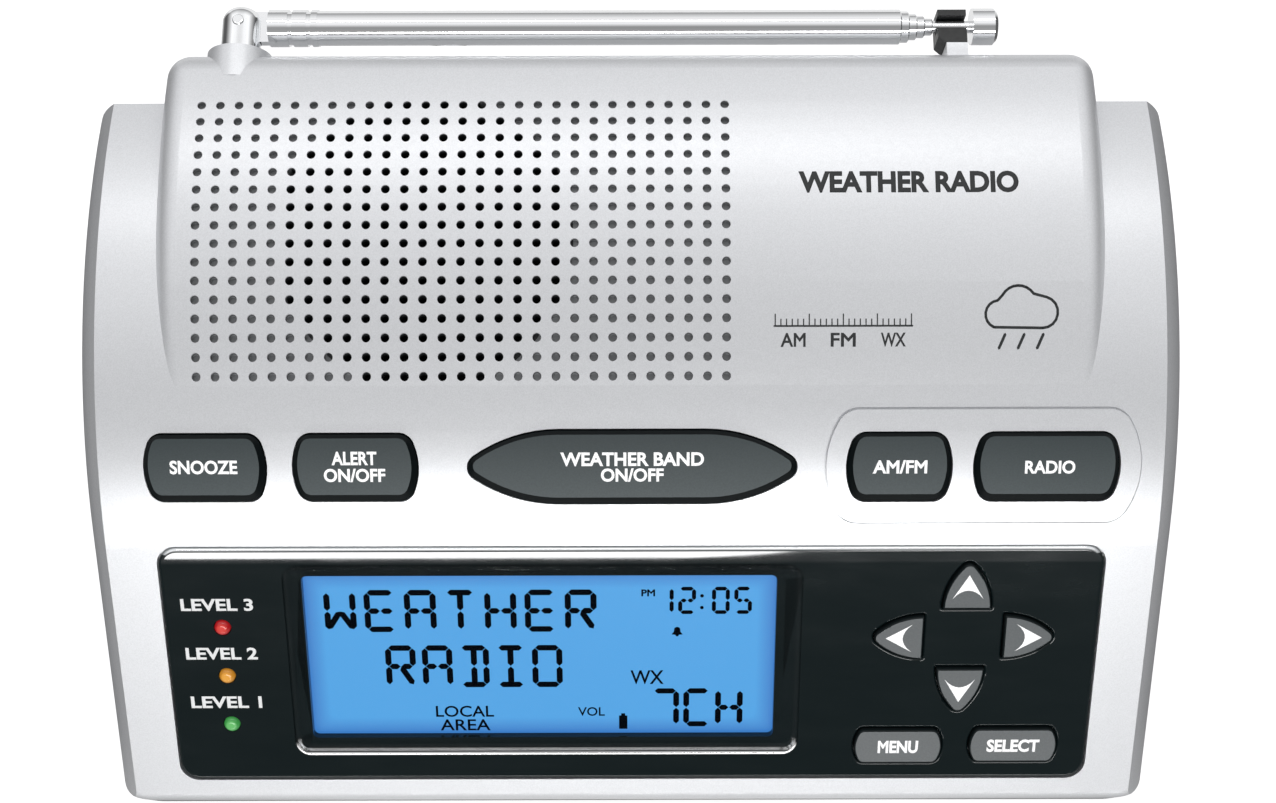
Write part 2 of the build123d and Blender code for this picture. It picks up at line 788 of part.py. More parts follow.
def make_small_keys():
    """The six keys of the panel: four petal-shaped arrows and two flat-ended pills."""
    for name, (x, s, outline) in small_keys().items():
        with BuildPart() as key:
            extrude(lay(panel_plane.offset(-3.4), x, s, outline, 0.6), amount=1.3)
            extrude(lay(panel_plane.offset(-4.6), x, s, outline, -1.2), amount=1.3)
            extrude(lay(panel_plane.offset(-2.2), x, s, outline), amount=2.2 + small_key_top)
            fillet(outer_face(key, panel_plane).edges(), 0.35)
        save(key.part, name)


def make_speaker():
    """The loudspeaker: basket, magnet, paper cone, and the screws that hold it up."""
    axis = Axis(speaker_plane.origin, speaker_plane.z_dir)
    side = Plane(origin=speaker_plane.origin, x_dir=(1, 0, 0), z_dir=-speaker_plane.y_dir)
    with BuildPart() as speaker_basket:
        with BuildSketch(side):
            with BuildLine():
                Polyline(
                    (speaker_radius, 0),
                    (21.0, 0),
                    (21.0, -1.2),
                    (12.5, -11.0),
                    (5.0, -11.0),
                    (5.0, -12.0),
                    (13.0, -12.0),
                    (21.8, -1.8),
                    (21.8, -1.0),
                    (speaker_radius, -1.0),
                    close=True,
                )
            make_face()
        revolve(axis=axis)
    save(speaker_basket.part, "speaker_basket")
    with BuildPart() as speaker_magnet:
        rod(speaker_plane.offset(-19.5), 14.0, 7.4)
        chamfer(outer_face(speaker_magnet, speaker_plane).edges(), 0.6)
    save(speaker_magnet.part, "speaker_magnet")
    with BuildPart() as speaker_cone:
        with BuildSketch(side):
            with BuildLine():
                Polyline(
                    (23.6, 0.02),
                    (23.6, 0.5),
                    (21.6, 0.5),
                    (20.8, 1.5),
                    (19.4, 1.5),
                    (18.6, 0.5),
                    (6.6, -7.2),
                    (5.2, -5.6),
                    (2.8, -4.7),
                    (0, -4.4),
                    (0, -4.9),
                    (2.6, -5.2),
                    (4.8, -6.1),
                    (6.4, -8.0),
                    (18.8, 0),
                    (19.6, 1.0),
                    (20.6, 1.0),
                    (21.3, 0.02),
                    close=True,
                )
            make_face()
        revolve(axis=axis)
    save(speaker_cone.part, "speaker_cone")
    with BuildPart() as speaker_screws:
        places = speaker_screw_places()
        pegs(speaker_plane.offset(-1.9), places, 3.4, 0.9)
        pegs(speaker_plane.offset(-3.2), places, 2.2, 1.4)
        pegs(speaker_plane.offset(-2), places, 1.2, 3.5)
    save(speaker_screws.part, "speaker_screws")


def make_battery_bay():
    """The four backup cells, their spring contacts and plates, and the hinged door."""
    with BuildPart() as battery_cells:
        for number, y in enumerate(cell_places):
            way = 1 if number % 2 == 0 else -1
            start = Plane(origin=(-way * cell_length / 2, y, cell_z), z_dir=(way, 0, 0))
            rod(start, cell_radius, cell_length)
            rod(start, 2.75, cell_length + 1.0)
        fillet(battery_cells.edges().filter_by(lambda e: is_cell_rim(e)), 0.6)
    save(battery_cells.part, "battery_cells")
    with BuildPart() as battery_contacts:
        for number, y in enumerate(cell_places):
            way = 1 if number % 2 == 0 else -1
            plate = sorted((way * (bay_x - 0.1), way * (bay_x - 0.5)))
            solid_box(plate, (y - 5, y + 5), (cell_z - 5, cell_z + 5))
            face = Plane(origin=(way * (bay_x - 0.5), y, cell_z), z_dir=(-way, 0, 0))
            rod(face, 3.0, bay_x - 0.5 - cell_length / 2 - 1.05)
    save(battery_contacts.part, "battery_contacts")
    with BuildPart() as battery_springs:
        for number, y in enumerate(cell_places):
            way = -1 if number % 2 == 0 else 1
            plate = sorted((way * (bay_x - 0.1), way * (bay_x - 0.5)))
            solid_box(plate, (y - 5, y + 5), (cell_z - 5, cell_z + 5))
            face = Plane(origin=(way * (bay_x - 0.5), y, cell_z), z_dir=(-way, 0, 0))
            with BuildSketch(face):
                Circle(4.6)
                Circle(4.0, mode=Mode.SUBTRACT)
            extrude(amount=bay_x - 0.5 - cell_length / 2 - 0.05, taper=12)
    save(battery_springs.part, "battery_springs")
    with BuildPart() as battery_door:
        low_z, high_z = base_z, base_z + door_thickness
        solid_box((-door_x, door_x), (door_front_y, door_pivot_y), (low_z, high_z))
        pivot = Plane(origin=(-door_x, door_pivot_y, door_pivot_z), z_dir=(1, 0, 0))
        rod(pivot, door_thickness / 2, 2 * door_x)
        for x in (-20, 20):
            root = (door_pivot_y - 2.2, door_pivot_y - 0.4)
            solid_box((x - 4, x + 4), root, (high_z - 0.1, high_z + 1.6))
            hook = (door_pivot_y - 0.4, door_pivot_y + 2.6)
            solid_box((x - 4, x + 4), hook, (high_z + 0.7, high_z + 1.6))
        notch_y = (door_front_y - 1, door_front_y + 2.4)
        solid_box((-9, 9), notch_y, (low_z - 1, low_z + 0.8), Mode.SUBTRACT)
        for number in range(5):
            rib_y = door_front_y + 7 + 2 * number
            solid_box((-12, 12), (rib_y - 0.4, rib_y + 0.4), (low_z, low_z + 0.4), Mode.SUBTRACT)
    save(battery_door.part, "battery_door")


def is_cell_rim(edge):
    """Whether an edge is the outer rim of a cell's end."""
    return edge.geom_type == GeomType.CIRCLE and edge.radius > 5


def make_feet():
    """The four rubber feet."""
    with BuildPart() as rubber_feet:
        pegs(Plane.XY, foot_places, foot_radius, foot_height)
        chamfer(rubber_feet.faces().filter_by(Axis.Z).group_by(Axis.Z)[0].edges(), 0.5)
    save(rubber_feet.part, "rubber_feet")


def make_screws():
    """The four case screws and the four main board screws."""
    with BuildPart() as case_screws:
        for x, y in case_screw_places:
            seat = Plane(origin=(x, y, screw_seat_z))
            rod(seat.offset(-2.0), screw_head_radius, 2.0)
            rod(seat, screw_radius, screw_end_z(y) - 4 - screw_seat_z)
            rod(seat.offset(-2.0), 1.2, 1.2, Mode.SUBTRACT)
    save(case_screws.part, "case_screws")
    top = main_board_z + board_thickness
    with BuildPart() as board_screws:
        for x, y in board_post_places:
            rod(Plane(origin=(x, y, top)), screw_head_radius, 1.6)
            rod(Plane(origin=(x, y, top - 8)), 1.2, 8.5)
            solid_box((x - 1.8, x + 1.8), (y - 0.3, y + 0.3), (top + 1, top + 2), Mode.SUBTRACT)
    save(board_screws.part, "board_screws")


def make_jacks():
    """The power inlet, the antenna socket and the two small jacks, under the main board."""
    body_y = (40.0, 53.4)
    body_z = (jack_z - 5.5, main_board_z - small_gap)
    rear = 57.9
    inlet_x, inlet_radius = rear_openings["dc_jack"]
    with BuildPart() as dc_jack:
        solid_box((inlet_x - 4.6, inlet_x + 4.6), body_y, body_z)
        rod(rear_plane(inlet_x, jack_z, body_y[1]), inlet_radius, rear - body_y[1])
        rod(rear_plane(inlet_x, jack_z, rear - 10), 3.1, 11, Mode.SUBTRACT)
        rod(rear_plane(inlet_x, jack_z, rear - 10), 1.0, 9)
    save(dc_jack.part, "dc_jack")
    socket_x, socket_radius = rear_openings["antenna_jack"]
    with BuildPart() as antenna_jack:
        solid_box((socket_x - 5, socket_x + 5), body_y, body_z)
        rod(rear_plane(socket_x, jack_z, body_y[1]), socket_radius, rear - body_y[1])
        rod(rear_plane(socket_x, jack_z, body_y[1]), 4.15, 11.5)
        rod(rear_plane(socket_x, jack_z, 50), 1.6, 18, Mode.SUBTRACT)
    save(antenna_jack.part, "antenna_jack")
    for name in ("alert_jack", "earphone_jack"):
        x, radius = rear_openings[name]
        with BuildPart() as jack:
            solid_box((x - 4, x + 4), body_y, body_z)
            rod(rear_plane(x, jack_z, body_y[1]), radius, rear - body_y[1])
            rod(rear_plane(x, jack_z, rear - 14), 1.8, 15, Mode.SUBTRACT)
        save(jack.part, name)


def make_rear_controls():
    """The volume wheel in its potentiometer, and the slide switch with its knob."""
    with BuildPart() as volume_control:
        pot_z = (volume_z[1] + 1.2, main_board_z - small_gap)
        solid_box((volume_x - 6, volume_x + 6), (volume_y - 6, 53.4), pot_z)
        rod(Plane(origin=(volume_x, volume_y, pot_z[0] - 1)), 2.0 + run_gap, 4, Mode.SUBTRACT)
    save(volume_control.part, "volume_control")
    with BuildPart() as volume_wheel:
        with BuildSketch(Plane(origin=(volume_x, volume_y, volume_z[0]))):
            Circle(volume_radius)
            with PolarLocations(volume_radius + 0.15, 48):
                Circle(0.42, mode=Mode.SUBTRACT)
        extrude(amount=volume_z[1] - volume_z[0])
        rod(Plane(origin=(volume_x, volume_y, volume_z[1] - 0.5)), 2.0, 4.4)
        rod(Plane(origin=(volume_x, volume_y, volume_z[0])), 5.5, 1.2, Mode.SUBTRACT)
    save(volume_wheel.part, "volume_wheel")
    with BuildPart() as switch_body:
        body_x = (switch_x - 6, switch_x + 6 + switch_travel)
        solid_box(body_x, (44.0, 50.0), (jack_z - 4, main_board_z - small_gap))
        slot = (switch_x - 1.7, switch_x + 1.7 + switch_travel)
        solid_box(slot, (46.0, 51.0), (jack_z - 1.2, jack_z + 1.2), Mode.SUBTRACT)
    save(switch_body.part, "switch_body")
    with BuildPart() as switch_knob:
        solid_box((switch_x - 1.4, switch_x + 1.4), (46.4, 52.0), (jack_z - 0.9, jack_z + 0.9))
        solid_box((switch_x - 2.1, switch_x + 2.1), (50.4, 59.2), (jack_z - 1.7, jack_z + 1.7))
        for step in (-1, 0, 1):
            x = switch_x + 1.2 * step
            solid_box((x - 0.2, x + 0.2), (58.8, 60), (jack_z - 3, jack_z + 3), Mode.SUBTRACT)
    save(switch_knob.part, "switch_knob")


def make_antenna_base():
    """The turning knuckle with its screw, the tilt pin, and the blade that carries the tubes."""
    knuckle_plane = rear_plane(swivel_x, antenna_z, knuckle_start_y)
    with BuildPart() as antenna_knuckle:
        rod(knuckle_plane, knuckle_radius, knuckle_end_y - knuckle_start_y)
        fillet(antenna_knuckle.edges().sort_by(Axis.Y)[-1], 2.6)
        spigot = rear_plane(swivel_x, antenna_z, spigot_end_y)
        rod(spigot, spigot_radius, knuckle_start_y - spigot_end_y + 0.1)
        slot_z = (antenna_z - blade_thickness / 2 - run_gap, antenna_z + blade_thickness / 2 + run_gap)
        solid_box((swivel_x - 5, swivel_x + 5), (antenna_y - 3.1, 70), slot_z, Mode.SUBTRACT)
        pin = Plane(origin=(swivel_x, antenna_y, antenna_z - 5))
        rod(pin, tilt_pin_radius, 10, Mode.SUBTRACT)
        rod(spigot.offset(-0.1), 1.1, 5, Mode.SUBTRACT)
    save(antenna_knuckle.part, "antenna_knuckle")
    with BuildPart() as antenna_screw:
        rod(rear_plane(swivel_x, antenna_z, spigot_end_y - 1.7), 2.6, 1.6)
        rod(rear_plane(swivel_x, antenna_z, spigot_end_y - 0.2), 1.05, 4.5)
    save(antenna_screw.part, "antenna_screw")
    with BuildPart() as antenna_pin:
        rod(Plane(origin=(swivel_x, antenna_y, antenna_z - 3.6)), tilt_pin_radius, 7.3)
        fillet(antenna_pin.faces().filter_by(Axis.Z).edges(), 0.25)
    save(antenna_pin.part, "antenna_pin")
    with BuildPart() as antenna_blade:
        with BuildSketch(Plane(origin=(swivel_x, antenna_y, antenna_z - blade_thickness / 2))):
            Circle(2.9)
            with Locations((2.6, 0)):
                Rectangle(5.2, 5.8)
        extrude(amount=blade_thickness)
        rod(antenna_plane.offset(tube_start_x), 3.25, 1.0)
        rod(antenna_plane.offset(tube_start_x), tube_bore - run_gap, 6.0)
        hole = Plane(origin=(swivel_x, antenna_y, antenna_z - 5))
        rod(hole, tilt_pin_radius + run_gap, 10, Mode.SUBTRACT)
    save(antenna_blade.part, "antenna_blade")


def make_antenna_tubes():
    """The outer tube with its crimped end, the four inner tubes, and the tip rod with its cap."""
    with BuildPart() as antenna_tube_1:
        start = tube_start_x + 1.0
        rod(antenna_plane.offset(start), tube_radius, tube_end_x - start)
        rod(antenna_plane.offset(start), tube_radius + 0.2, 7.6)
        for groove_x in (-59.6, -56.3):
            with BuildSketch(antenna_plane.offset(groove_x - 0.4)):
                Circle(tube_radius + 1)
                Circle(tube_radius - 0.12, mode=Mode.SUBTRACT)
            extrude(amount=0.8, mode=Mode.SUBTRACT)
        chamfer(antenna_tube_1.edges().sort_by(Axis.X)[-1], 0.2)
        rod(antenna_plane.offset(start - 1), tube_bore, 120, Mode.SUBTRACT)
    save(antenna_tube_1.part, "antenna_tube_1")
    inner = section_radii[1:] + (rod_radius,)
    for number, (radius, bore) in enumerate(zip(section_radii, inner)):
        start = section_start_x + number
        end = tube_end_x + section_step * (number + 1)
        with BuildPart() as tube:
            rod(antenna_plane.offset(start), radius, end - start)
            chamfer(tube.edges().sort_by(Axis.X)[-1], 0.15)
            rod(antenna_plane.offset(start - 1), bore + run_gap, 120, Mode.SUBTRACT)
        save(tube.part, f"antenna_tube_{number + 2}")
    with BuildPart() as antenna_tip:
        rod(antenna_plane.offset(section_start_x + 4), rod_radius, rod_end_x - section_start_x - 3)
        rod(antenna_plane.offset(rod_end_x), cap_radius, cap_end_x - rod_end_x)
        chamfer(antenna_tip.edges().sort_by(Axis.X)[-1], 0.6)
    save(antenna_tip.part, "antenna_tip")


def make_antenna_clip():
    """The open-topped clip that holds the folded antenna's tip."""
    block_y = (59.7, 66.0)
    with BuildPart() as antenna_clip:
        solid_box(clip_x, block_y, (53.9, 59.2))
        slot = (antenna_y - clip_slot_width / 2, antenna_y + clip_slot_width / 2)
        solid_box((50, 60), slot, (antenna_z - rod_radius - 0.15, 62), Mode.SUBTRACT)
        chamfer(antenna_clip.edges().filter_by(Axis.Z).group_by(Axis.Y)[0].sort_by(Axis.X)[0], 1.2)
        fillet(antenna_clip.edges().filter_by(Axis.X).group_by(Axis.Z)[0], 0.5)
        rod(rear_plane(57.05, 56.0, 56.6), 1.1, 3.3)
    save(antenna_clip.part, "antenna_clip")


def main():
    """Builds every piece."""
    os.makedirs("parts", exist_ok=True)
    make_top_housing()
    make_bottom_housing()
    make_control_panel()
    make_display_lens()
    make_display()
    make_boards()
    make_key_mats()
    make_lamps()
    make_large_keys()
    make_small_keys()
    make_speaker()
    make_battery_bay()
    make_feet()
    make_screws()
    make_jacks()
    make_rear_controls()
    make_antenna_base()
    make_antenna_tubes()
    make_antenna_clip()


main()
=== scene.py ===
"""Looks of a desktop emergency radio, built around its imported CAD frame."""

import json
import math

import bmesh
import bpy
from mathutils import Matrix, Vector
from mathutils.bvhtree import BVHTree


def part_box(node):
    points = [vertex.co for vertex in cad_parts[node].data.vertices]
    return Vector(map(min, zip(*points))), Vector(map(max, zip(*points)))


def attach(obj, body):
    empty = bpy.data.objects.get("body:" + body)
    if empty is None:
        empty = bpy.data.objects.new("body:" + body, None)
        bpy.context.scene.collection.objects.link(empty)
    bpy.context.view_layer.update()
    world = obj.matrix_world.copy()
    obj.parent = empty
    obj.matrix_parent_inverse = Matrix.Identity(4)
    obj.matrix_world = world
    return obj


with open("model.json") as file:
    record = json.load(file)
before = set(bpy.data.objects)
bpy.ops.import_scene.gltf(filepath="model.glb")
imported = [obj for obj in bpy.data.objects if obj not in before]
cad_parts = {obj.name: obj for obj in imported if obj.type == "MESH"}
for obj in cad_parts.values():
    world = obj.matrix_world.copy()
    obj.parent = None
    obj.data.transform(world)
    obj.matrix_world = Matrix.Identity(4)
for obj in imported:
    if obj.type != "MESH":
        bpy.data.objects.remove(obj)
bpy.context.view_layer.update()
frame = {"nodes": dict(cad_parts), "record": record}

MM = 0.001
PRINT_THICKNESS = 0.03 * MM
CABINET = "cabinet"

# The sloping front: a flat panel below a crown of one radius.
# Distances along it count from where the two meet.
CROWN_RADIUS = 92 * MM
CROWN_Y = 27.8 * MM
CROWN_Z = -32.7 * MM
PANEL_TILT = math.radians(36)
KEY_ROW = 14.5 * MM
SMALL_KEY_ROW = -23 * MM

# The raised rear part: two arcs that meet along one line.
HUMP_REAR = (39.4 * MM, -29.55 * MM, 93 * MM)
HUMP_FRONT = (48.2 * MM, -62.4 * MM, 127 * MM)
HUMP_MEETING_Y = 15.3 * MM
REAR_WALL_Y = 57.5 * MM

# The grille's corners, its middle along Y, and how far from the speaker its holes are open.
GRILLE_BOX = ((-76 * MM, 0.0), (18 * MM, 48 * MM))
GRILLE_MIDDLE_Y = 23.3 * MM
OPEN_RADIUS = 25.2 * MM

# The corners of the display's window, on the panel.
WINDOW = (Vector((-57.2, -37.9, 0)) * MM, Vector((25.2, -5.6, 0)) * MM)

LAMP_NAMES = {"led_red": "LEVEL 3", "led_amber": "LEVEL 2", "led_green": "LEVEL 1"}

# The battery cells lie along X, turned end for end in turn: their spacing along Y, how far
# the copper band is from a cell's middle, and how far the sleeve reaches.
CELL_START = -26.5 * MM
CELL_PITCH = 15 * MM
CELL_BAND = 12 * MM
CELL_SLEEVE = 24.5 * MM


def slope_frame(distance):
    """A frame on the sloping front: X to the right, Y up the slope, Z out of it."""
    angle = PANEL_TILT - max(distance, 0) / CROWN_RADIUS
    y = CROWN_Y - CROWN_RADIUS * math.sin(angle) + min(distance, 0) * math.cos(angle)
    z = CROWN_Z + CROWN_RADIUS * math.cos(angle) + min(distance, 0) * math.sin(angle)
    return Matrix.Translation((0, y, z)) @ Matrix.Rotation(angle, 4, "X")


PANEL = slope_frame(0)
KEYS = slope_frame(KEY_ROW)
REAR = Matrix(((-1, 0, 0, 0), (0, 0, 1, REAR_WALL_Y), (0, 1, 0, 0), (0, 0, 0, 1)))


def extent(points):
    """The lowest and highest corner of some points."""
    low = Vector([min(p[i] for p in points) for i in range(3)])
    high = Vector([max(p[i] for p in points) for i in range(3)])
    return low, high


def local_box(node, place):
    """The lowest and highest corner of a CAD node, measured in a frame of its own."""
    inverse = place.inverted()
    return extent([inverse @ v.co for v in frame["nodes"][node].data.vertices])


# ---------------------------------------------------------------- materials


class Nodes:
    """A node tree, with short ways to add to it. place is where each point is."""

    def __init__(self, tree, coordinates):
        self.tree = tree
        self.place = self.add("ShaderNodeTexCoord").outputs[coordinates]

    def add(self, kind, inputs=None, **settings):
        node = self.tree.nodes.new(kind)
        for key, value in settings.items():
            setattr(node, key, value)
        for key, value in (inputs or {}).items():
            self.feed(node.inputs[key], value)
        return node

    def feed(self, socket, value):
        """Links a node's output to a socket, or sets the socket to a plain value."""
        if isinstance(value, bpy.types.NodeSocket):
            self.tree.links.new(value, socket)
        else:
            socket.default_value = value

    def math(self, operation, *values, clamp=False):
        node = self.add("ShaderNodeMath", operation=operation, use_clamp=clamp)
        for socket, value in zip(node.inputs, values):
            self.feed(socket, value)
        return node.outputs[0]

    def ramp(self, value, low, high, start=0.0, end=1.0):
        """value from start to end, spread over low to high."""
        names = {"Value": value, "From Min": start, "From Max": end, "To Min": low, "To Max": high}
        return self.add("ShaderNodeMapRange", names).outputs[0]

    def length(self, first, second):
        """The length of the long side of a right-angled triangle."""
        squares = self.math("MULTIPLY_ADD", first, first, self.math("MULTIPLY", second, second))
        return self.math("SQRT", squares)

    def mix(self, value, first, second):
        """A colour between two, by value."""
        node = self.add("ShaderNodeMix", {"Factor": value, 6: first, 7: second}, data_type="RGBA")
        return node.outputs[2]

    def split(self):
        """The place's X, Y and Z."""
        return self.add("ShaderNodeSeparateXYZ", {"Vector": self.place}).outputs


class Paint(Nodes):
    """One material, made with nodes that follow the piece."""

    def __init__(self, name):
        self.material = bpy.data.materials.new(name)
        self.material.use_nodes = True
        super().__init__(self.material.node_tree, "Object")
        self.shader = self.tree.nodes["Principled BSDF"]
        self.output = self.tree.nodes["Material Output"]

    def set(self, **values):
        """Feeds the shader's sockets, by their names with underscores for blanks."""
        for key, value in values.items():
            self.feed(self.shader.inputs[key.replace("_", " ")], value)

    def stretched(self, scale):
        """The place on the piece, stretched along its axes."""
        mapping = self.add("ShaderNodeMapping", {"Vector": self.place, "Scale": scale})
        return mapping.outputs[0]

    def noise(self, scale, detail=3.0, roughness=0.5, where=None):
        where = where or self.place
        values = {"Vector": where, "Scale": scale, "Detail": detail, "Roughness": roughness}
        return self.add("ShaderNodeTexNoise", values).outputs["Fac"]

    def cells(self, scale):
        """A random grey for each small cell."""
        node = self.add("ShaderNodeTexVoronoi", {"Vector": self.place, "Scale": scale})
        return self.add("ShaderNodeRGBToBW", {"Color": node.outputs["Color"]}).outputs[0]

    def tint(self, value, dark, light):
        """A mix of two plain colours."""
        return self.mix(value, (*dark, 1), (*light, 1))

    def bump(self, height, strength, distance):
        values = {"Height": height, "Strength": strength, "Distance": distance}
        self.set(Normal=self.add("ShaderNodeBump", values).outputs[0])

    def along(self, vector, direction):
        """How far a vector reaches along a fixed direction."""
        values = {0: vector, 1: tuple(direction)}
        return self.add("ShaderNodeVectorMath", values, operation="DOT_PRODUCT").outputs["Value"]

    def facing(self, plane):
        """1 where the face here looks straight out of a plane, less where it turns away."""
        normal = self.add("ShaderNodeNewGeometry").outputs["Normal"]
        return self.along(normal, plane.to_3x3().col[2])

    def height_on(self, plane):
        """How far up a plane the place is, from the plane's middle."""
        up = plane.to_3x3().col[1]
        return self.math("SUBTRACT", self.along(self.place, up), plane.translation.dot(up))


def hump_depth(paint, axes):
    """How far a point lies under the raised rear part's outer face."""
    depths = []
    for centre_y, centre_z, radius in (HUMP_FRONT, HUMP_REAR):
        across = paint.math("SUBTRACT", axes["Y"], centre_y)
        up = paint.math("SUBTRACT", axes["Z"], centre_z)
        depths.append(paint.math("SUBTRACT", radius, paint.length(across, up)))
    behind = paint.math("GREATER_THAN", axes["Y"], HUMP_MEETING_Y)
    difference = paint.math("SUBTRACT", depths[1], depths[0])
    return paint.math("MULTIPLY_ADD", behind, difference, depths[0])


def in_grille(paint, axes):
    """1 over the grille, 0 beside it."""
    inside = 1.0
    for axis, low, high in zip("XY", *GRILLE_BOX):
        inside = paint.math("MULTIPLY", inside, paint.math("GREATER_THAN", axes[axis], low))
        inside = paint.math("MULTIPLY", inside, paint.math("LESS_THAN", axes[axis], high))
    return inside


def beside_speaker(paint, axes):
    """1 where the grille's holes are blind, 0 where the speaker is behind them."""
    low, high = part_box("speaker_basket")
    aside = paint.math("SUBTRACT", axes["X"], (low.x + high.x) / 2)
    behind = paint.math("SUBTRACT", axes["Y"], GRILLE_MIDDLE_Y)
    return paint.math("GREATER_THAN", paint.length(aside, behind), OPEN_RADIUS)


def silver_cabinet():
    """Silver paint outside. The grille's holes are bare plastic with painted shade: dark near the
    rim and all through where the speaker is behind, grey on a blind hole's floor.
    """
    flakes, paint_edge, hole_floor = 7000, 0.35 * MM, 1.4 * MM
    paint = Paint("silver_paint")
    axes = paint.split()
    depth = hump_depth(paint, axes)
    below = paint.math("GREATER_THAN", depth, paint_edge)
    hole = paint.math("MULTIPLY", below, in_grille(paint, axes))
    silver = paint.tint(paint.cells(flakes), (0.66, 0.67, 0.685), (0.76, 0.77, 0.79))
    # Painted shade in the holes: near-black at the rim and in the open holes, grey towards a blind
    # hole's floor.
    shade = paint.ramp(depth, 0.0, 1.0, paint_edge, hole_floor)
    shade = paint.math("MULTIPLY", shade, beside_speaker(paint, axes))
    bare_with_painted_shade = paint.tint(shade, (0.03, 0.033, 0.035), (0.44, 0.45, 0.46))
    paint.set(Base_Color=paint.mix(hole, silver, bare_with_painted_shade))
    paint.set(Metallic=paint.ramp(hole, 0.45, 0.0))
    paint.set(Roughness=paint.ramp(paint.noise(1400, 2), 0.33, 0.37, 0.3, 0.7))
    grit = paint.math("MULTIPLY", paint.cells(flakes), 0.35)
    paint.bump(paint.math("ADD", paint.noise(900, 2), grit), 0.05, 0.02 * MM)
    return paint.material


def moulded(name, dark, light, roughness=0.55, grain=3200, strength=0.25, depth=0.03):
    """Plastic from a spark-eroded mould: a fine grain with slow changes of tone."""
    spread = 0.07
    paint = Paint(name)
    slow = paint.math("MULTIPLY", paint.noise(60, 3), 0.5)
    tone = paint.math("MULTIPLY_ADD", paint.noise(grain, 2), 0.5, slow)
    paint.set(Base_Color=paint.tint(paint.ramp(tone, 0, 1, 0.3, 0.7), dark, light))
    gloss = paint.ramp(paint.noise(grain / 2, 3), roughness - spread, roughness + spread, 0.3, 0.7)
    paint.set(Roughness=gloss)
    paint.bump(paint.noise(grain, 3, 0.6), strength, depth * MM)
    return paint.material


def grey_cabinet():
    return moulded("grey_plastic", (0.115, 0.123, 0.128), (0.165, 0.173, 0.178), 0.55)


def black_panel():
    """Polished black with faint wiping marks, a painted highlight on the bevel along the top, and a
    rolled edge.

    The roll turns the mirror image of the front lamp into a white band below the bevel. It
    flattens out towards the right, where the band ends.
    """
    painted_highlight_start, roll_start, roll = -1.2 * MM, -2.9 * MM, -20
    gloss_start, gloss_full = -3.0 * MM, -2.5 * MM
    flattens, flat = 10 * MM, 40 * MM
    paint = Paint("polished_black")
    slope = paint.height_on(PANEL)
    wipes = paint.noise(90, 5, 0.6, paint.stretched((0.5, 2.2, 1)))
    turned = paint.ramp(paint.facing(PANEL), 1, 0, 0.90, 0.99)
    # Painted highlight: the bevel along the top turns from black to a light metallic grey.
    painted_bevel_highlight = paint.math("MULTIPLY", turned, paint.math("GREATER_THAN", slope, painted_highlight_start))
    black = paint.tint(wipes, (0.0045, 0.0095, 0.0105), (0.0070, 0.0125, 0.0135))
    paint.set(Base_Color=paint.mix(painted_bevel_highlight, black, (0.80, 0.82, 0.83, 1)))
    paint.set(Metallic=paint.math("MULTIPLY", painted_bevel_highlight, 0.75))
    paint.set(Specular_IOR_Level=paint.ramp(slope, 0.35, 1.0, gloss_start, gloss_full))
    paint.set(Roughness=paint.ramp(wipes, 0.06, 0.12, 0.3, 0.7))
    rolled = paint.math("MAXIMUM", paint.math("SUBTRACT", slope, roll_start), 0.0)
    curve = paint.ramp(paint.split()["X"], roll, 0, flattens, flat)
    bend = paint.math("MULTIPLY", paint.math("MULTIPLY", rolled, rolled), curve)
    wavy = paint.math("MULTIPLY", paint.noise(1500, 2), 0.0003 * MM)
    paint.bump(paint.math("ADD", bend, wavy), 1.0, 1.0)
    return paint.material


def lens():
    """Clear polished acrylic: a faint mirror with a painted highlight round its lower corners, a
    line that glows and turns to mirror.
    """
    corner = 2.2 * MM
    inner, outer = (corner - 1.0 * MM, corner - 0.85 * MM), (corner - 0.35 * MM, corner - 0.15 * MM)
    highlight_mirror, plain_mirror, highlight_glow = 0.80, 0.005, 0.5
    paint = Paint("clear_acrylic")
    low, high = local_box("display_lens", PANEL)
    x, slope = paint.split()["X"], paint.height_on(PANEL)
    aside = 0.0
    for past in (
        paint.math("SUBTRACT", low.x + corner, x),
        paint.math("SUBTRACT", x, high.x - corner),
    ):
        aside = paint.math("MAXIMUM", aside, past)
    under = paint.math("MAXIMUM", paint.math("SUBTRACT", low.y + corner, slope), 0.0)
    reach = paint.length(aside, under)
    past_inner, within_outer = paint.ramp(reach, 0, 1, *inner), paint.ramp(reach, 1, 0, *outer)
    # line is a painted highlight: a band round the lower corners, fading up the sides.
    line = paint.math("MULTIPLY", past_inner, within_outer)
    fade = paint.ramp(slope, 1, 0, low.y + 1.6 * MM, low.y + 3.0 * MM)
    faded_highlight = paint.math("MULTIPLY", line, fade)
    share = paint.math("MULTIPLY_ADD", faded_highlight, highlight_mirror, plain_mirror)
    paint.set(Base_Color=(1, 1, 1, 1), Metallic=1.0)
    paint.set(Roughness=paint.ramp(paint.noise(120, 4), 0.02, 0.06, 0.3, 0.7))
    # The painted highlight also glows.
    glow = paint.math("MULTIPLY", line, highlight_glow)
    paint.set(Emission_Color=(1, 1, 1, 1), Emission_Strength=glow)
    clear = paint.add("ShaderNodeBsdfTransparent", {"Color": (0.985, 0.99, 0.995, 1)})
    parts = {0: share, 1: clear.outputs[0], 2: paint.shader.outputs[0]}
    mixed = paint.add("ShaderNodeMixShader", parts)
    paint.feed(paint.output.inputs["Surface"], mixed.outputs[0])
    return paint.material


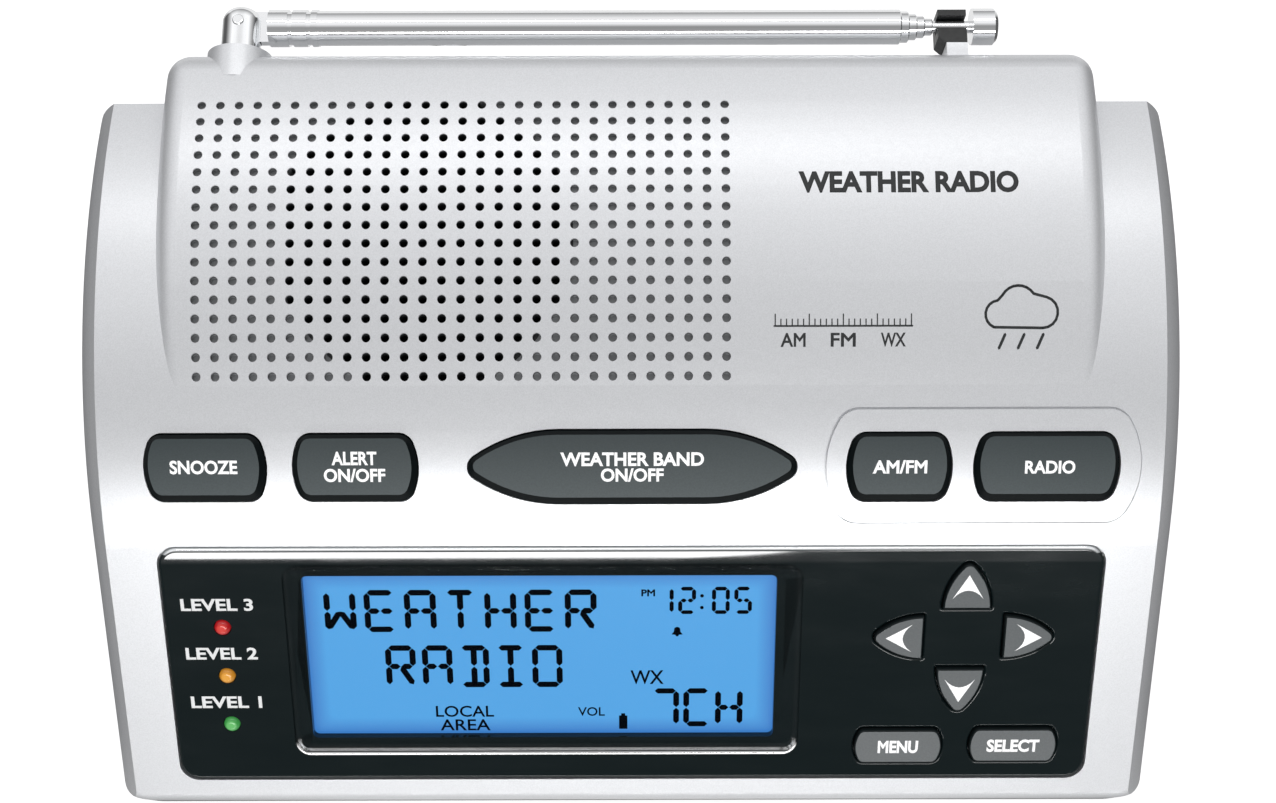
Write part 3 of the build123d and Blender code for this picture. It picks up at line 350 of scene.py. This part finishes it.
def lcd():
    """A back-lit display: deeper blue along its edges, with a fine pixel mesh."""
    glow_width, corner_blend = 3.2 * MM, 2.5 * MM
    paint = Paint("blue_display")
    low, high = WINDOW
    nearest = 1.0
    for value, first, last in (
        (paint.split()["X"], low.x, high.x),
        (paint.height_on(PANEL), low.y, high.y),
    ):
        for side in (paint.math("SUBTRACT", value, first), paint.math("SUBTRACT", last, value)):
            nearest = paint.math("SMOOTH_MIN", nearest, side, corner_blend)
    glow = paint.ramp(nearest, 0, 1, 0.0, glow_width)
    uneven = paint.math("MULTIPLY_ADD", paint.noise(25, 2), 0.12, -0.06)
    glow = paint.math("ADD", glow, uneven, clamp=True)
    colour = paint.tint(glow, (0.040, 0.195, 0.56), (0.070, 0.355, 0.75))
    mesh = paint.ramp(paint.cells(5200), 0.985, 1.0)
    paint.set(Base_Color=(0.01, 0.02, 0.035, 1), Roughness=0.35, Specular_IOR_Level=0.2)
    paint.set(Emission_Color=colour, Emission_Strength=mesh)
    return paint.material


def ink(name, colour, roughness=0.5, shine=0.5, glow=0.0):
    """Screen-printed ink: an even colour with a slightly uneven gloss. glow adds painted light, an
    emission that makes the ink look lit.
    """
    spread = 0.08
    paint = Paint(name)
    grain = paint.noise(5000, 2)
    darker = tuple(c * 0.93 for c in colour)
    paint.set(Base_Color=paint.tint(grain, darker, colour))
    paint.set(Roughness=paint.ramp(grain, roughness - spread, roughness + spread, 0.3, 0.7))
    # glow is painted light: a faint emission that makes the ink look lit.
    paint.set(Specular_IOR_Level=shine, Emission_Color=(1, 1, 1, 1), Emission_Strength=glow)
    paint.bump(grain, 0.1, 0.01 * MM)
    return paint.material


def key_plastic(name, plane, top, bottom, side, flat, span):
    """Satin key: painted light that makes the face lighter towards its lower edge, and painted
    shade that makes the sides near-black.

    flat is how squarely a face looks out of plane to count as the key's face, and span is how
    far above and below the plane's middle the tone changes.
    """
    paint = Paint(name)
    # Painted light and shade: a tone on the face lighter towards its lower edge, and near-black
    # painted shade on the sides.
    face = paint.ramp(paint.facing(plane), 0, 1, flat - 0.02, flat)
    tone = paint.tint(paint.ramp(paint.height_on(plane), 0, 1, -span, span), bottom, top)
    grain = paint.noise(3800, 2)
    shaded = paint.mix(paint.ramp(grain, 0.0, 0.18, 0.3, 0.7), tone, (*side, 1))
    paint.set(Base_Color=paint.mix(face, (*side, 1), shaded))
    paint.set(Roughness=paint.ramp(grain, 0.33, 0.43, 0.3, 0.7))
    paint.set(Specular_IOR_Level=paint.ramp(face, 0.12, 0.35))
    paint.bump(grain, 0.08, 0.02 * MM)
    return paint.material


def key():
    # top and bottom are the face's painted light, lighter towards its lower edge; side is painted
    # shade on the sides.
    top, bottom, side = (0.027, 0.040, 0.043), (0.080, 0.098, 0.102), (0.002, 0.004, 0.0045)
    return key_plastic("slate_key", KEYS, top, bottom, side, 0.985, 6 * MM)


def small_key():
    # top and bottom are the face's painted light, lighter towards its lower edge; side is painted
    # shade on the sides.
    top, bottom, side = (0.105, 0.117, 0.121), (0.160, 0.172, 0.176), (0.008, 0.012, 0.013)
    plane = slope_frame(SMALL_KEY_ROW)
    return key_plastic("grey_key", plane, top, bottom, side, 0.97, 22 * MM)


def lamp(name, deep, bright, strength=0.8):
    """A tinted lamp with a bright middle."""
    paint = Paint(name)
    colour = paint.tint(paint.ramp(paint.facing(PANEL), 0, 1, 0.80, 1.0), deep, bright)
    veins = paint.ramp(paint.noise(2500, 2), 0.9, 1.0)
    lit = paint.math("MULTIPLY", veins, strength)
    paint.set(Base_Color=(*deep, 1), Roughness=0.18)
    paint.set(Emission_Color=colour, Emission_Strength=lit)
    return paint.material


def metal(name, dark, light, roughness, stretch=(1, 1, 1), scale=900, strength=0.03, spread=0.05):
    """Metal with fine working marks along one direction."""
    paint = Paint(name)
    marks = paint.noise(scale, 4, 0.6, paint.stretched(stretch))
    paint.set(Base_Color=paint.tint(marks, dark, light), Metallic=1.0)
    paint.set(Roughness=paint.ramp(marks, roughness - spread, roughness + spread, 0.3, 0.7))
    paint.bump(marks, strength, 0.02 * MM)
    return paint.material


def chrome():
    dark, light = (0.90, 0.91, 0.92), (0.95, 0.955, 0.96)
    return metal("bright_chrome", dark, light, 0.07, (0.12, 4, 4), 200, 0.002, 0.015)


def board():
    """Green solder resist over copper tracks."""
    paint = Paint("circuit_board")
    tracks = paint.add("ShaderNodeTexBrick", {
        "Vector": paint.place, "Scale": 160.0, "Mortar Size": 0.03,
        "Color1": (0.012, 0.085, 0.035, 1),
        "Color2": (0.010, 0.070, 0.030, 1),
        "Mortar": (0.030, 0.160, 0.065, 1),
    })
    paint.set(Base_Color=tracks.outputs["Color"])
    paint.set(Roughness=paint.ramp(paint.noise(700), 0.25, 0.4))
    paint.bump(tracks.outputs["Fac"], 0.2, 0.03 * MM)
    return paint.material


def cone():
    """Pressed black paper with short fibres."""
    paint = Paint("cone_paper")
    fibres = paint.noise(1800, 5, 0.7, paint.stretched((1, 3, 1)))
    paint.set(Base_Color=paint.tint(fibres, (0.006, 0.006, 0.006), (0.030, 0.029, 0.028)))
    paint.set(Roughness=0.85)
    paint.bump(fibres, 0.5, 0.08 * MM)
    return paint.material


def cell():
    """A plain battery sleeve with a copper band next to its positive end, and tinned ends."""
    paint = Paint("battery_sleeve")
    axes = paint.split()
    per_cell = math.pi / CELL_PITCH
    number = paint.math("MULTIPLY_ADD", axes["Y"], per_cell, math.pi / 2 - CELL_START * per_cell)
    way = paint.math("SIGN", paint.math("SINE", number))
    place = paint.math("MULTIPLY", axes["X"], way)
    band = paint.math("GREATER_THAN", place, CELL_BAND)
    end = paint.math("GREATER_THAN", paint.math("ABSOLUTE", place), CELL_SLEEVE)
    sleeve = paint.mix(band, (0.020, 0.021, 0.024, 1), (0.42, 0.18, 0.065, 1))
    paint.set(Base_Color=paint.mix(end, sleeve, (0.62, 0.62, 0.63, 1)))
    paint.set(Metallic=paint.math("MAXIMUM", end, paint.math("MULTIPLY", band, 0.7)))
    paint.set(Roughness=paint.ramp(paint.noise(900), 0.25, 0.38))
    paint.bump(paint.noise(1500), 0.05, 0.02 * MM)
    return paint.material


def build_materials():
    """One material for each slot of the record."""
    return {
        "silver_cabinet": silver_cabinet(),
        "grey_cabinet": grey_cabinet(),
        "black_panel": black_panel(),
        "lens": lens(),
        "lcd": lcd(),
        "backlight": moulded("light_guide", (0.70, 0.72, 0.74), (0.80, 0.82, 0.84), 0.3),
        "board": board(),
        "chips": moulded("chip_resin", (0.010, 0.010, 0.011), (0.022, 0.022, 0.024), 0.6),
        "capacitors": metal(
            "capacitor_can", (0.50, 0.51, 0.54), (0.62, 0.63, 0.66), 0.3, (1, 1, 8)
        ),
        "tin": metal("tinned_sheet", (0.62, 0.62, 0.61), (0.74, 0.74, 0.72), 0.34, (1, 6, 1)),
        "rubber": moulded(
            "foot_rubber", (0.010, 0.010, 0.011), (0.022, 0.022, 0.024), 0.8, 1600, 0.5, 0.06
        ),
        "mat_rubber": moulded("mat_silicone", (0.30, 0.31, 0.32), (0.40, 0.41, 0.42), 0.6),
        "key": key(),
        "small_key": small_key(),
        "led_red": lamp("red_lamp", (0.26, 0.006, 0.008), (0.62, 0.07, 0.05)),
        "led_amber": lamp("amber_lamp", (0.34, 0.14, 0.012), (0.66, 0.33, 0.06)),
        "led_green": lamp("green_lamp", (0.030, 0.19, 0.040), (0.15, 0.45, 0.15)),
        "basket": moulded("basket_enamel", (0.008, 0.008, 0.009), (0.016, 0.016, 0.017), 0.4),
        "magnet": moulded(
            "ferrite", (0.020, 0.020, 0.021), (0.045, 0.045, 0.046), 0.7, 1400, 0.4, 0.08
        ),
        "cone": cone(),
        "screws": metal("zinc_plate", (0.52, 0.52, 0.54), (0.66, 0.66, 0.67), 0.30),
        "chrome": chrome(),
        "clip": moulded("black_nylon", (0.006, 0.007, 0.007), (0.014, 0.015, 0.015), 0.42),
        "cell": cell(),
        "contact": metal("nickel_brass", (0.60, 0.57, 0.46), (0.72, 0.69, 0.57), 0.28, (6, 1, 1)),
        "jack": moulded("jack_nylon", (0.007, 0.007, 0.008), (0.016, 0.016, 0.017), 0.5),
    }


def paint_nodes(materials):
    """Gives each CAD node the material of its slot."""
    for part in frame["record"]["subparts"]:
        mesh = frame["nodes"][part["node"]].data
        mesh.materials.clear()
        mesh.materials.append(materials[part["material_slot"]])


# ---------------------------------------------------------------- prints


def prism(points):
    """A flat print with this outline."""
    shape = bmesh.new()
    face = shape.faces.new([shape.verts.new((x, y, 0)) for x, y in points])
    raised = bmesh.ops.extrude_face_region(shape, geom=[face])["geom"]
    top = [v for v in raised if isinstance(v, bmesh.types.BMVert)]
    bmesh.ops.translate(shape, verts=top, vec=(0, 0, PRINT_THICKNESS))
    bmesh.ops.recalc_face_normals(shape, faces=shape.faces)
    mesh = bpy.data.meshes.new("prism")
    shape.to_mesh(mesh)
    shape.free()
    return mesh


def words(text, width, height, bold=0.02):
    """Flat letters of that width and height, with their middle at the origin."""
    curve = bpy.data.curves.new("words", "FONT")
    curve.body = text
    curve.bevel_depth = bold
    curve.bevel_resolution = 0
    curve.resolution_u = 4
    curve.extrude = 0.01
    holder = bpy.data.objects.new("words", curve)
    bpy.context.scene.collection.objects.link(holder)
    graph = bpy.context.evaluated_depsgraph_get()
    mesh = bpy.data.meshes.new_from_object(holder.evaluated_get(graph))
    bpy.data.objects.remove(holder)
    low, high = extent([v.co for v in mesh.vertices])
    size = high - low
    scale = Matrix.Diagonal((width / size.x, height / size.y, PRINT_THICKNESS / size.z, 1))
    middle = Vector(((low.x + high.x) / 2, (low.y + high.y) / 2, low.z))
    mesh.transform(scale @ Matrix.Translation(-middle))
    return mesh


def joined(parts):
    """One mesh from (mesh, x, y) parts on a plane."""
    shape = bmesh.new()
    for mesh, x, y in parts:
        mesh.transform(Matrix.Translation((x, y, 0)))
        shape.from_mesh(mesh)
        bpy.data.meshes.remove(mesh)
    mesh = bpy.data.meshes.new("joined")
    shape.to_mesh(mesh)
    shape.free()
    return mesh


def add_piece(name, mesh, place, body, material):
    """Puts a mesh in the scene as one piece that moves with a body."""
    mesh.transform(place)
    mesh.name = name
    mesh.materials.clear()
    mesh.materials.append(material)
    piece = bpy.data.objects.new(name, mesh)
    bpy.context.scene.collection.objects.link(piece)
    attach(piece, body)


def key_top(node, plane):
    """The frame at the middle of a key's face, and the key's size."""
    low, high = local_box(node, plane)
    middle = (low + high) / 2
    return plane @ Matrix.Translation((middle.x, middle.y, high.z)), high - low


def print_keys(white):
    """White words on the keys.

    Each line is its text, width, height, and how far it is from the key's middle, in mm.
    """
    bold, small_bold = 0.032, 0.040
    legends = {
        "snooze_key": [("SNOOZE", 11.4, 2.4, 0, 0.4)],
        "alert_key": [("ALERT", 7.6, 2.35, 0, 1.9), ("ON/OFF", 10.4, 2.35, 0, -1.05)],
        "weather_key": [("WEATHER BAND", 24.2, 2.4, 0, 1.65), ("ON/OFF", 10.6, 2.35, 0, -1.1)],
        "band_key": [("AM/FM", 9.2, 2.35, 0, 0.2)],
        "radio_key": [("RADIO", 8.5, 2.3, 0.4, 0.1)],
    }
    for node, lines in legends.items():
        place, _ = key_top(node, KEYS)
        parts = [(words(t, w * MM, h * MM, bold), x * MM, y * MM) for t, w, h, x, y in lines]
        add_piece(node + "_legend", joined(parts), place, node, white)
    for node, text, width in (("menu_key", "MENU", 7.2), ("select_key", "SELECT", 9.4)):
        place, _ = key_top(node, PANEL)
        parts = [(words(text, width * MM, 2.6 * MM, small_bold), 0, 0)]
        add_piece(node + "_legend", joined(parts), place, node, white)


def arrowhead(width, height, turn):
    """An arrowhead with a hollow base, turned to point along its key."""
    steps, hollow, fullness = 8, 0.36, 0.8
    points = [(0, height * 0.52), (-width / 2, -height / 2)]
    for step in range(1, steps):
        share = step / steps
        rise = hollow * math.sin(math.pi * share) ** fullness
        points.append((width * (share - 0.5), height * (rise - 0.5)))
    points.append((width / 2, -height / 2))
    sine, cosine = math.sin(turn), math.cos(turn)
    return prism([(x * cosine - y * sine, x * sine + y * cosine) for x, y in points])


def print_arrows(white):
    """An arrowhead on each petal-shaped key, pointing away from the middle of the four."""
    width_share, length_share = 0.56, 0.46
    turns = {"up_key": 0, "left_key": math.pi / 2, "down_key": math.pi, "right_key": -math.pi / 2}
    for node, turn in turns.items():
        place, size = key_top(node, PANEL)
        upright = node in ("up_key", "down_key")
        across, along = (size.x, size.y) if upright else (size.y, size.x)
        mesh = arrowhead(width_share * across, length_share * along, turn)
        add_piece(node + "_legend", mesh, place, node, white)


def print_lamp_names(grey):
    """A level's name above each lamp."""
    left, above = 0.6 * MM, 4.45 * MM
    surface = local_box("control_panel", PANEL)[1].z
    for node, text in LAMP_NAMES.items():
        low, high = local_box(node, PANEL)
        x, y = (low.x + high.x) / 2 - left, (low.y + high.y) / 2 + above
        place = PANEL @ Matrix.Translation((x, y, surface))
        mesh = words(text, 12.6 * MM, 2.4 * MM, 0.030)
        add_piece(node + "_name", mesh, place, CABINET, grey)


# ---------------------------------------------------------------- display

# The ends of each segment on a grid of three by three points.
SEGMENTS = {
    "a": ((0, 2), (2, 2)), "b": ((2, 2), (2, 1)), "c": ((2, 1), (2, 0)), "d": ((0, 0), (2, 0)),
    "e": ((0, 1), (0, 0)), "f": ((0, 2), (0, 1)), "g": ((0, 1), (1, 1)), "h": ((1, 1), (2, 1)),
    "i": ((0, 2), (1, 1)), "j": ((1, 2), (1, 1)), "k": ((2, 2), (1, 1)), "l": ((1, 1), (2, 0)),
    "m": ((1, 1), (1, 0)), "n": ((1, 1), (0, 0)),
}
SEGMENT_GAP = 0.07 * MM
# The segments of each character.
LETTERS = {
    "W": "fencbl", "E": "afghed", "A": "abcefgh", "T": "ajm", "H": "febcgh", "R": "abefghl",
    "D": "abcdjm", "I": "ajmd", "O": "abcdef", "C": "afed", "0": "abcdef", "1": "bc", "2": "abghed",
    "5": "afghcd", "7": "abc",
}


def bar(start, end, half, gap):
    """The outline of one display segment: a bar with pointed ends, a gap short of its corners."""
    start, end = Vector(start), Vector(end)
    along = (end - start).normalized()
    side = Vector((-along.y, along.x)) * half
    start, end = start + along * gap, end - along * gap
    near, far = start + along * half, end - along * half
    points = (start, near - side, far - side, end, far + side, near + side)
    return [(p.x, p.y) for p in points]


def characters(text, left, bottom, pitch, width, height, half):
    """Display characters as bars of that half width. All sizes are in mm."""
    parts = []
    for index, letter in enumerate(text):
        corner = Vector((left + index * pitch, bottom)) * MM
        for name in LETTERS[letter]:
            ends = (Vector((x * width / 2, y * height / 2)) * MM for x, y in SEGMENTS[name])
            start, end = (corner + point for point in ends)
            parts.append((prism(bar(start, end, half * MM, SEGMENT_GAP)), 0, 0))
    return parts


def make_display(black):
    """What the display says, on its glass. Places are in mm from the middle of the window."""
    # Each: text, left, bottom, pitch, a character's width and height, half width of its bars.
    barred = (
        ("WEATHER", -37.35, 4.95, 7.03, 4.5, 7.2, 0.54),
        ("RADIO", -27.15, -6.2, 6.5, 4.3, 7.4, 0.54),
        ("12", 20.6, 8.2, 3.9, 2.4, 4.6, 0.36),
        ("05", 30.4, 8.2, 3.9, 2.4, 4.6, 0.36),
        ("7CH", 20.0, -14.4, 5.7, 3.9, 6.8, 0.52),
    )
    # Each: text, width, height, the place of its middle, and how bold it is.
    small = (
        ("PM", 2.4, 1.35, 18.9, 12.0, 0.03),
        ("WX", 5.9, 2.8, 18.7, -4.8, 0.012),
        ("VOL", 4.8, 1.8, 8.7, -11.8, 0.012),
        ("LOCAL", 10.4, 2.3, -14.0, -11.7, 0.012),
        ("AREA", 9.0, 2.3, -14.0, -14.5, 0.012),
    )
    dot = disc(0.33 * MM)
    # Each: an outline, and the place of its middle.
    signs = (
        (dot, 28.3, 9.1),
        (dot, 28.3, 11.4),
        (bell(1.9 * MM), 24.0, 4.3),
        (battery(1.5 * MM, 3.2 * MM), 14.4, -13.8),
    )
    low, high = WINDOW
    middle = (low + high) / 2
    surface = local_box("lcd_glass", PANEL)[1].z
    place = PANEL @ Matrix.Translation((middle.x, middle.y, surface))
    parts = [bar_part for row in barred for bar_part in characters(*row)]
    for text, width, height, x, y, bold in small:
        parts.append((words(text, width * MM, height * MM, bold), x * MM, y * MM))
    parts += [(prism(outline), x * MM, y * MM) for outline, x, y in signs]
    add_piece("display_characters", joined(parts), place, CABINET, black)


def disc(radius, steps=16):
    """The outline of a dot."""
    turn = 2 * math.pi / steps
    return [(radius * math.cos(turn * i), radius * math.sin(turn * i)) for i in range(steps)]


def bell(size):
    """The outline of a small bell seen from the side."""
    half = [(0.06, 0.52), (0.26, 0.40), (0.32, 0.0), (0.52, -0.26), (0.16, -0.30), (0.10, -0.46)]
    right = [(x * size, y * size) for x, y in half]
    return right + [(-x, y) for x, y in reversed(right)]


def battery(width, height):
    """The outline of an upright battery."""
    half, cap, shoulder = width / 2, width * 0.24, height * 0.36
    right = [(half, -height / 2), (half, shoulder), (cap, shoulder), (cap, height / 2)]
    return right + [(-x, y) for x, y in reversed(right)]


# ---------------------------------------------------------------- prints on the cabinet


def drape(mesh, node):
    """Lays a thin print on a node's upper face: each point keeps its height over the face."""
    source = frame["nodes"][node].data
    faces = [tuple(p.vertices) for p in source.polygons]
    tree = BVHTree.FromPolygons([v.co for v in source.vertices], faces)
    up, above_all = Vector((0, 0, 1)), 0.2
    for vertex in mesh.vertices:
        lift = vertex.co.z
        start = Vector((vertex.co.x, vertex.co.y, above_all))
        point, _, _, _ = tree.ray_cast(start, -up)
        vertex.co = point + up * lift


def split_long_edges(mesh, longest=0.8 * MM):
    """Halves long edges, so that a print can follow a curved face."""
    shape = bmesh.new()
    shape.from_mesh(mesh)
    long_edges = [e for e in shape.edges if e.calc_length() > longest]
    bmesh.ops.subdivide_edges(shape, edges=long_edges, cuts=1)
    bmesh.ops.triangulate(shape, faces=shape.faces)
    shape.to_mesh(mesh)
    shape.free()


def line(points, half):
    """A thin stroke through points: short bars of that half width, which overlap. All in mm."""
    points = [Vector(point) * MM for point in points]
    ends = zip(points[:-1], points[1:])
    return [(prism(bar(start, end, half * MM, -half * MM)), 0, 0) for start, end in ends]


def cloud_mark():
    """A plain cloud over three drops."""
    steps = 8
    # Each arc: its middle, radius, and the degrees where it starts and ends.
    arcs = (
        ((-4.2, 0.6), 2.2, 250, 95), ((-0.9, 2.1), 3.1, 150, 35), ((3.2, 0.9), 2.5, 75, -90),
    )
    outline = []
    for (x, y), radius, start, end in arcs:
        for step in range(steps + 1):
            turn = math.radians(start + (end - start) * step / steps)
            outline.append((x + radius * math.cos(turn), y + radius * math.sin(turn)))
    outline.append(outline[0])
    parts = line(outline, 0.22)
    for x in (-3.6, -0.4, 2.8):
        parts += line([(x + 0.5, -2.6), (x - 0.5, -4.8)], 0.24)
    return parts


def scale_mark():
    """A tuning scale: ticks over a line, with the band names."""
    ticks, pitch, ticks_per_band, tall, short = 25, 0.95, 6, 1.9, 1.1
    parts = line([(-11.6, 0.0), (11.6, 0.0)], 0.14)
    for index in range(ticks):
        x = (index - ticks // 2) * pitch
        top = tall if index % ticks_per_band == 0 else short
        parts += line([(x, 0.0), (x, top)], 0.10)
    for text, x in (("AM", -8.4), ("FM", 0.0), ("WX", 8.4)):
        parts.append((words(text, 4.2 * MM, 2.2 * MM), x * MM, -2.2 * MM))
    return parts


def print_cabinet(black):
    """Plain marks on the raised rear part. Each has its parts and its place, in mm."""
    marks = {
        "cabinet_name": ([(words("WEATHER RADIO", 37 * MM, 3.8 * MM, 0.04), 0, 0)], 46.8, 32.0),
        "tuning_scale": (scale_mark(), 35.6, 8.2),
        "weather_mark": (cloud_mark(), 65.8, 9.4),
    }
    for name, (parts, x, y) in marks.items():
        mesh = joined(parts)
        split_long_edges(mesh)
        mesh.transform(Matrix.Translation((x * MM, y * MM, 0)))
        drape(mesh, "top_housing")
        add_piece(name, mesh, Matrix.Identity(4), CABINET, black)


def print_rear(grey):
    """A name over each thing in the rear wall, all at one height."""
    height, per_letter = 21.6 * MM, 1.55 * MM
    names = {
        "dc_jack": "DC IN", "antenna_jack": "ANT", "alert_jack": "ALERT",
        "earphone_jack": "PHONES", "switch_knob": "OFF   ON", "volume_wheel": "VOLUME",
    }
    for node, text in names.items():
        low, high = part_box(node)
        place = REAR @ Matrix.Translation((-(low.x + high.x) / 2, height, 0))
        mesh = words(text, per_letter * len(text), 1.9 * MM)
        add_piece(node + "_name", mesh, place, CABINET, grey)


# ---------------------------------------------------------------- stage


def floor():
    """A plain pale floor, white to the camera and dim to the light that it throws back.

    Its mirror image in the radio is bright in front and behind, and dim at the sides.
    """
    size, height = 6.0, -0.02 * MM
    mesh = bpy.data.meshes.new("floor")
    corners = [(x * size, y * size, height) for x, y in ((-1, -1), (1, -1), (1, 1), (-1, 1))]
    mesh.from_pydata(corners, [], [(0, 1, 2, 3)])
    plane = bpy.data.objects.new("floor", mesh)
    bpy.context.scene.collection.objects.link(plane)
    paint = Paint("pale_floor")
    rays = paint.add("ShaderNodeLightPath").outputs
    seen, mirrored = rays["Is Camera Ray"], rays["Is Glossy Ray"]
    axes = paint.split()
    aside = paint.math("ABSOLUTE", axes["X"])
    ahead = paint.math("ABSOLUTE", paint.math("ADD", axes["Y"], 5 * MM))
    share = paint.ramp(paint.math("SUBTRACT", ahead, aside), 0, 1, -60 * MM, 20 * MM)
    glow = paint.math("MULTIPLY", mirrored, paint.math("MULTIPLY", share, 0.75))
    glow = paint.math("MULTIPLY_ADD", seen, 0.72, glow)
    paint.set(Base_Color=paint.tint(seen, (0.11,) * 3, (0.55,) * 3))
    paint.set(Roughness=0.9, Specular_IOR_Level=0.1)
    paint.set(Emission_Color=(1, 1, 1, 1), Emission_Strength=glow)
    mesh.materials.append(paint.material)


def strip_lamp(name, place, size, radiance):
    """A flat lamp of that width and height, turned to the radio's middle."""
    target = Vector((0, 0, 0.04))
    width, height = size
    light = bpy.data.lights.new(name, "AREA")
    light.shape = "RECTANGLE"
    light.size, light.size_y = width, height
    light.energy = radiance * math.pi * width * height
    holder = bpy.data.objects.new(name, light)
    holder.location = place
    holder.rotation_euler = (target - place).to_track_quat("-Z", "Y").to_euler()
    bpy.context.scene.collection.objects.link(holder)


# The room's brightness, by degrees up from the horizon in front, over the top, and down behind.
ROOM = (
    (0, 0.20), (22, 0.14), (36, 0.34), (46, 0.34), (58, 0.30), (70, 0.30),
    (82, 0.68), (94, 0.96), (108, 0.74), (125, 0.92), (145, 0.70), (180, 0.26),
)
# Towards the sides the brightness is multiplied by a value that goes from 1 to each of these
# over a span of x squared, where x is how far a direction points sideways.
SIDE_RISE, SIDE_RISE_SPAN = 1.2, (0.0, 0.12)
SIDE_SHADE, SIDE_SHADE_SPAN = 0.08, (0.45, 0.97)
# Each lamp: name, degrees up from the front, distance, width and height, radiance.
LAMPS = (
    ("front_lamp", 37, 1.3, (0.9, 0.17), 14.0),
    ("rear_strip", 112, 1.1, (0.9, 0.06), 8.0),
    ("low_strip", 9, 1.2, (0.9, 0.04), 14.0),
)


def room():
    """A soft white room, darker low down at the sides, and plain white to the camera."""
    world = bpy.data.worlds.new("studio")
    bpy.context.scene.world = world
    world.use_nodes = True
    nodes = Nodes(world.node_tree, "Generated")
    axes = nodes.split()
    turn = nodes.math("ARCTAN2", axes["Z"], nodes.math("MULTIPLY", axes["Y"], -1.0))
    levels = nodes.add("ShaderNodeValToRGB", {"Fac": nodes.math("DIVIDE", turn, math.pi)})
    elements = levels.color_ramp.elements
    while len(elements) < len(ROOM):
        elements.new(0.5)
    for element, (degrees_up, level) in zip(elements, ROOM):
        element.position = degrees_up / 180
        element.color = (level, level, level * 1.01, 1)
    sideways = nodes.math("MULTIPLY", axes["X"], axes["X"])
    shade = nodes.ramp(sideways, 1.0, SIDE_SHADE, *SIDE_SHADE_SPAN)
    rise = nodes.ramp(sideways, 1.0, SIDE_RISE, *SIDE_RISE_SPAN)
    seen = nodes.add("ShaderNodeLightPath").outputs["Is Camera Ray"]
    strength = {0: seen, 2: nodes.math("MULTIPLY", shade, rise), 3: 1.0}
    strength = nodes.add("ShaderNodeMix", strength).outputs[0]
    colour = nodes.mix(seen, levels.outputs["Color"], (0.94, 0.94, 0.95, 1))
    background = nodes.tree.nodes["Background"]
    nodes.feed(background.inputs["Color"], colour)
    nodes.feed(background.inputs["Strength"], strength)


def lamps():
    """Long lamps over the radio, which its edges and curves mirror."""
    for name, degrees_up, distance, size, radiance in LAMPS:
        turn = math.radians(degrees_up)
        place = Vector((0, -math.cos(turn), math.sin(turn))) * distance
        strip_lamp(name, place, size, radiance)


def camera():
    """Above and a little in front of the radio, looking down, and very slightly rolled."""
    elevation, roll = math.radians(75), math.radians(0.14)
    data = bpy.data.cameras.new("camera")
    data.lens = 48.24
    data.sensor_width = 36
    data.clip_start = 0.01
    view = bpy.data.objects.new("camera", data)
    tilt = Matrix.Rotation(math.pi / 2 - elevation, 3, "X")
    view.location = (1.2 * MM, -78.02 * MM, 331.35 * MM)
    view.rotation_euler = (tilt @ Matrix.Rotation(-roll, 3, "Z")).to_euler()
    bpy.context.scene.collection.objects.link(view)
    bpy.context.scene.camera = view
    bpy.context.scene.view_settings.view_transform = "Standard"


paint_nodes(build_materials())
# The white ink glows with painted light, so the key legends look lit.
white_ink_painted_glow = ink("white_ink_painted_glow", (0.95, 0.95, 0.95), glow=0.22)
black_ink = ink("black_ink", (0.012, 0.014, 0.015))
print_keys(white_ink_painted_glow)
print_arrows(white_ink_painted_glow)
# The grey ink glows a little with painted light, so the lamp names look lit.
print_lamp_names(ink("grey_ink_painted_glow", (0.80, 0.81, 0.81), glow=0.08))
make_display(ink("display_black", (0.001, 0.002, 0.004), 0.6, 0.0))
print_cabinet(black_ink)
print_rear(ink("pale_ink", (0.60, 0.61, 0.62)))
floor()
room()
lamps()
camera()
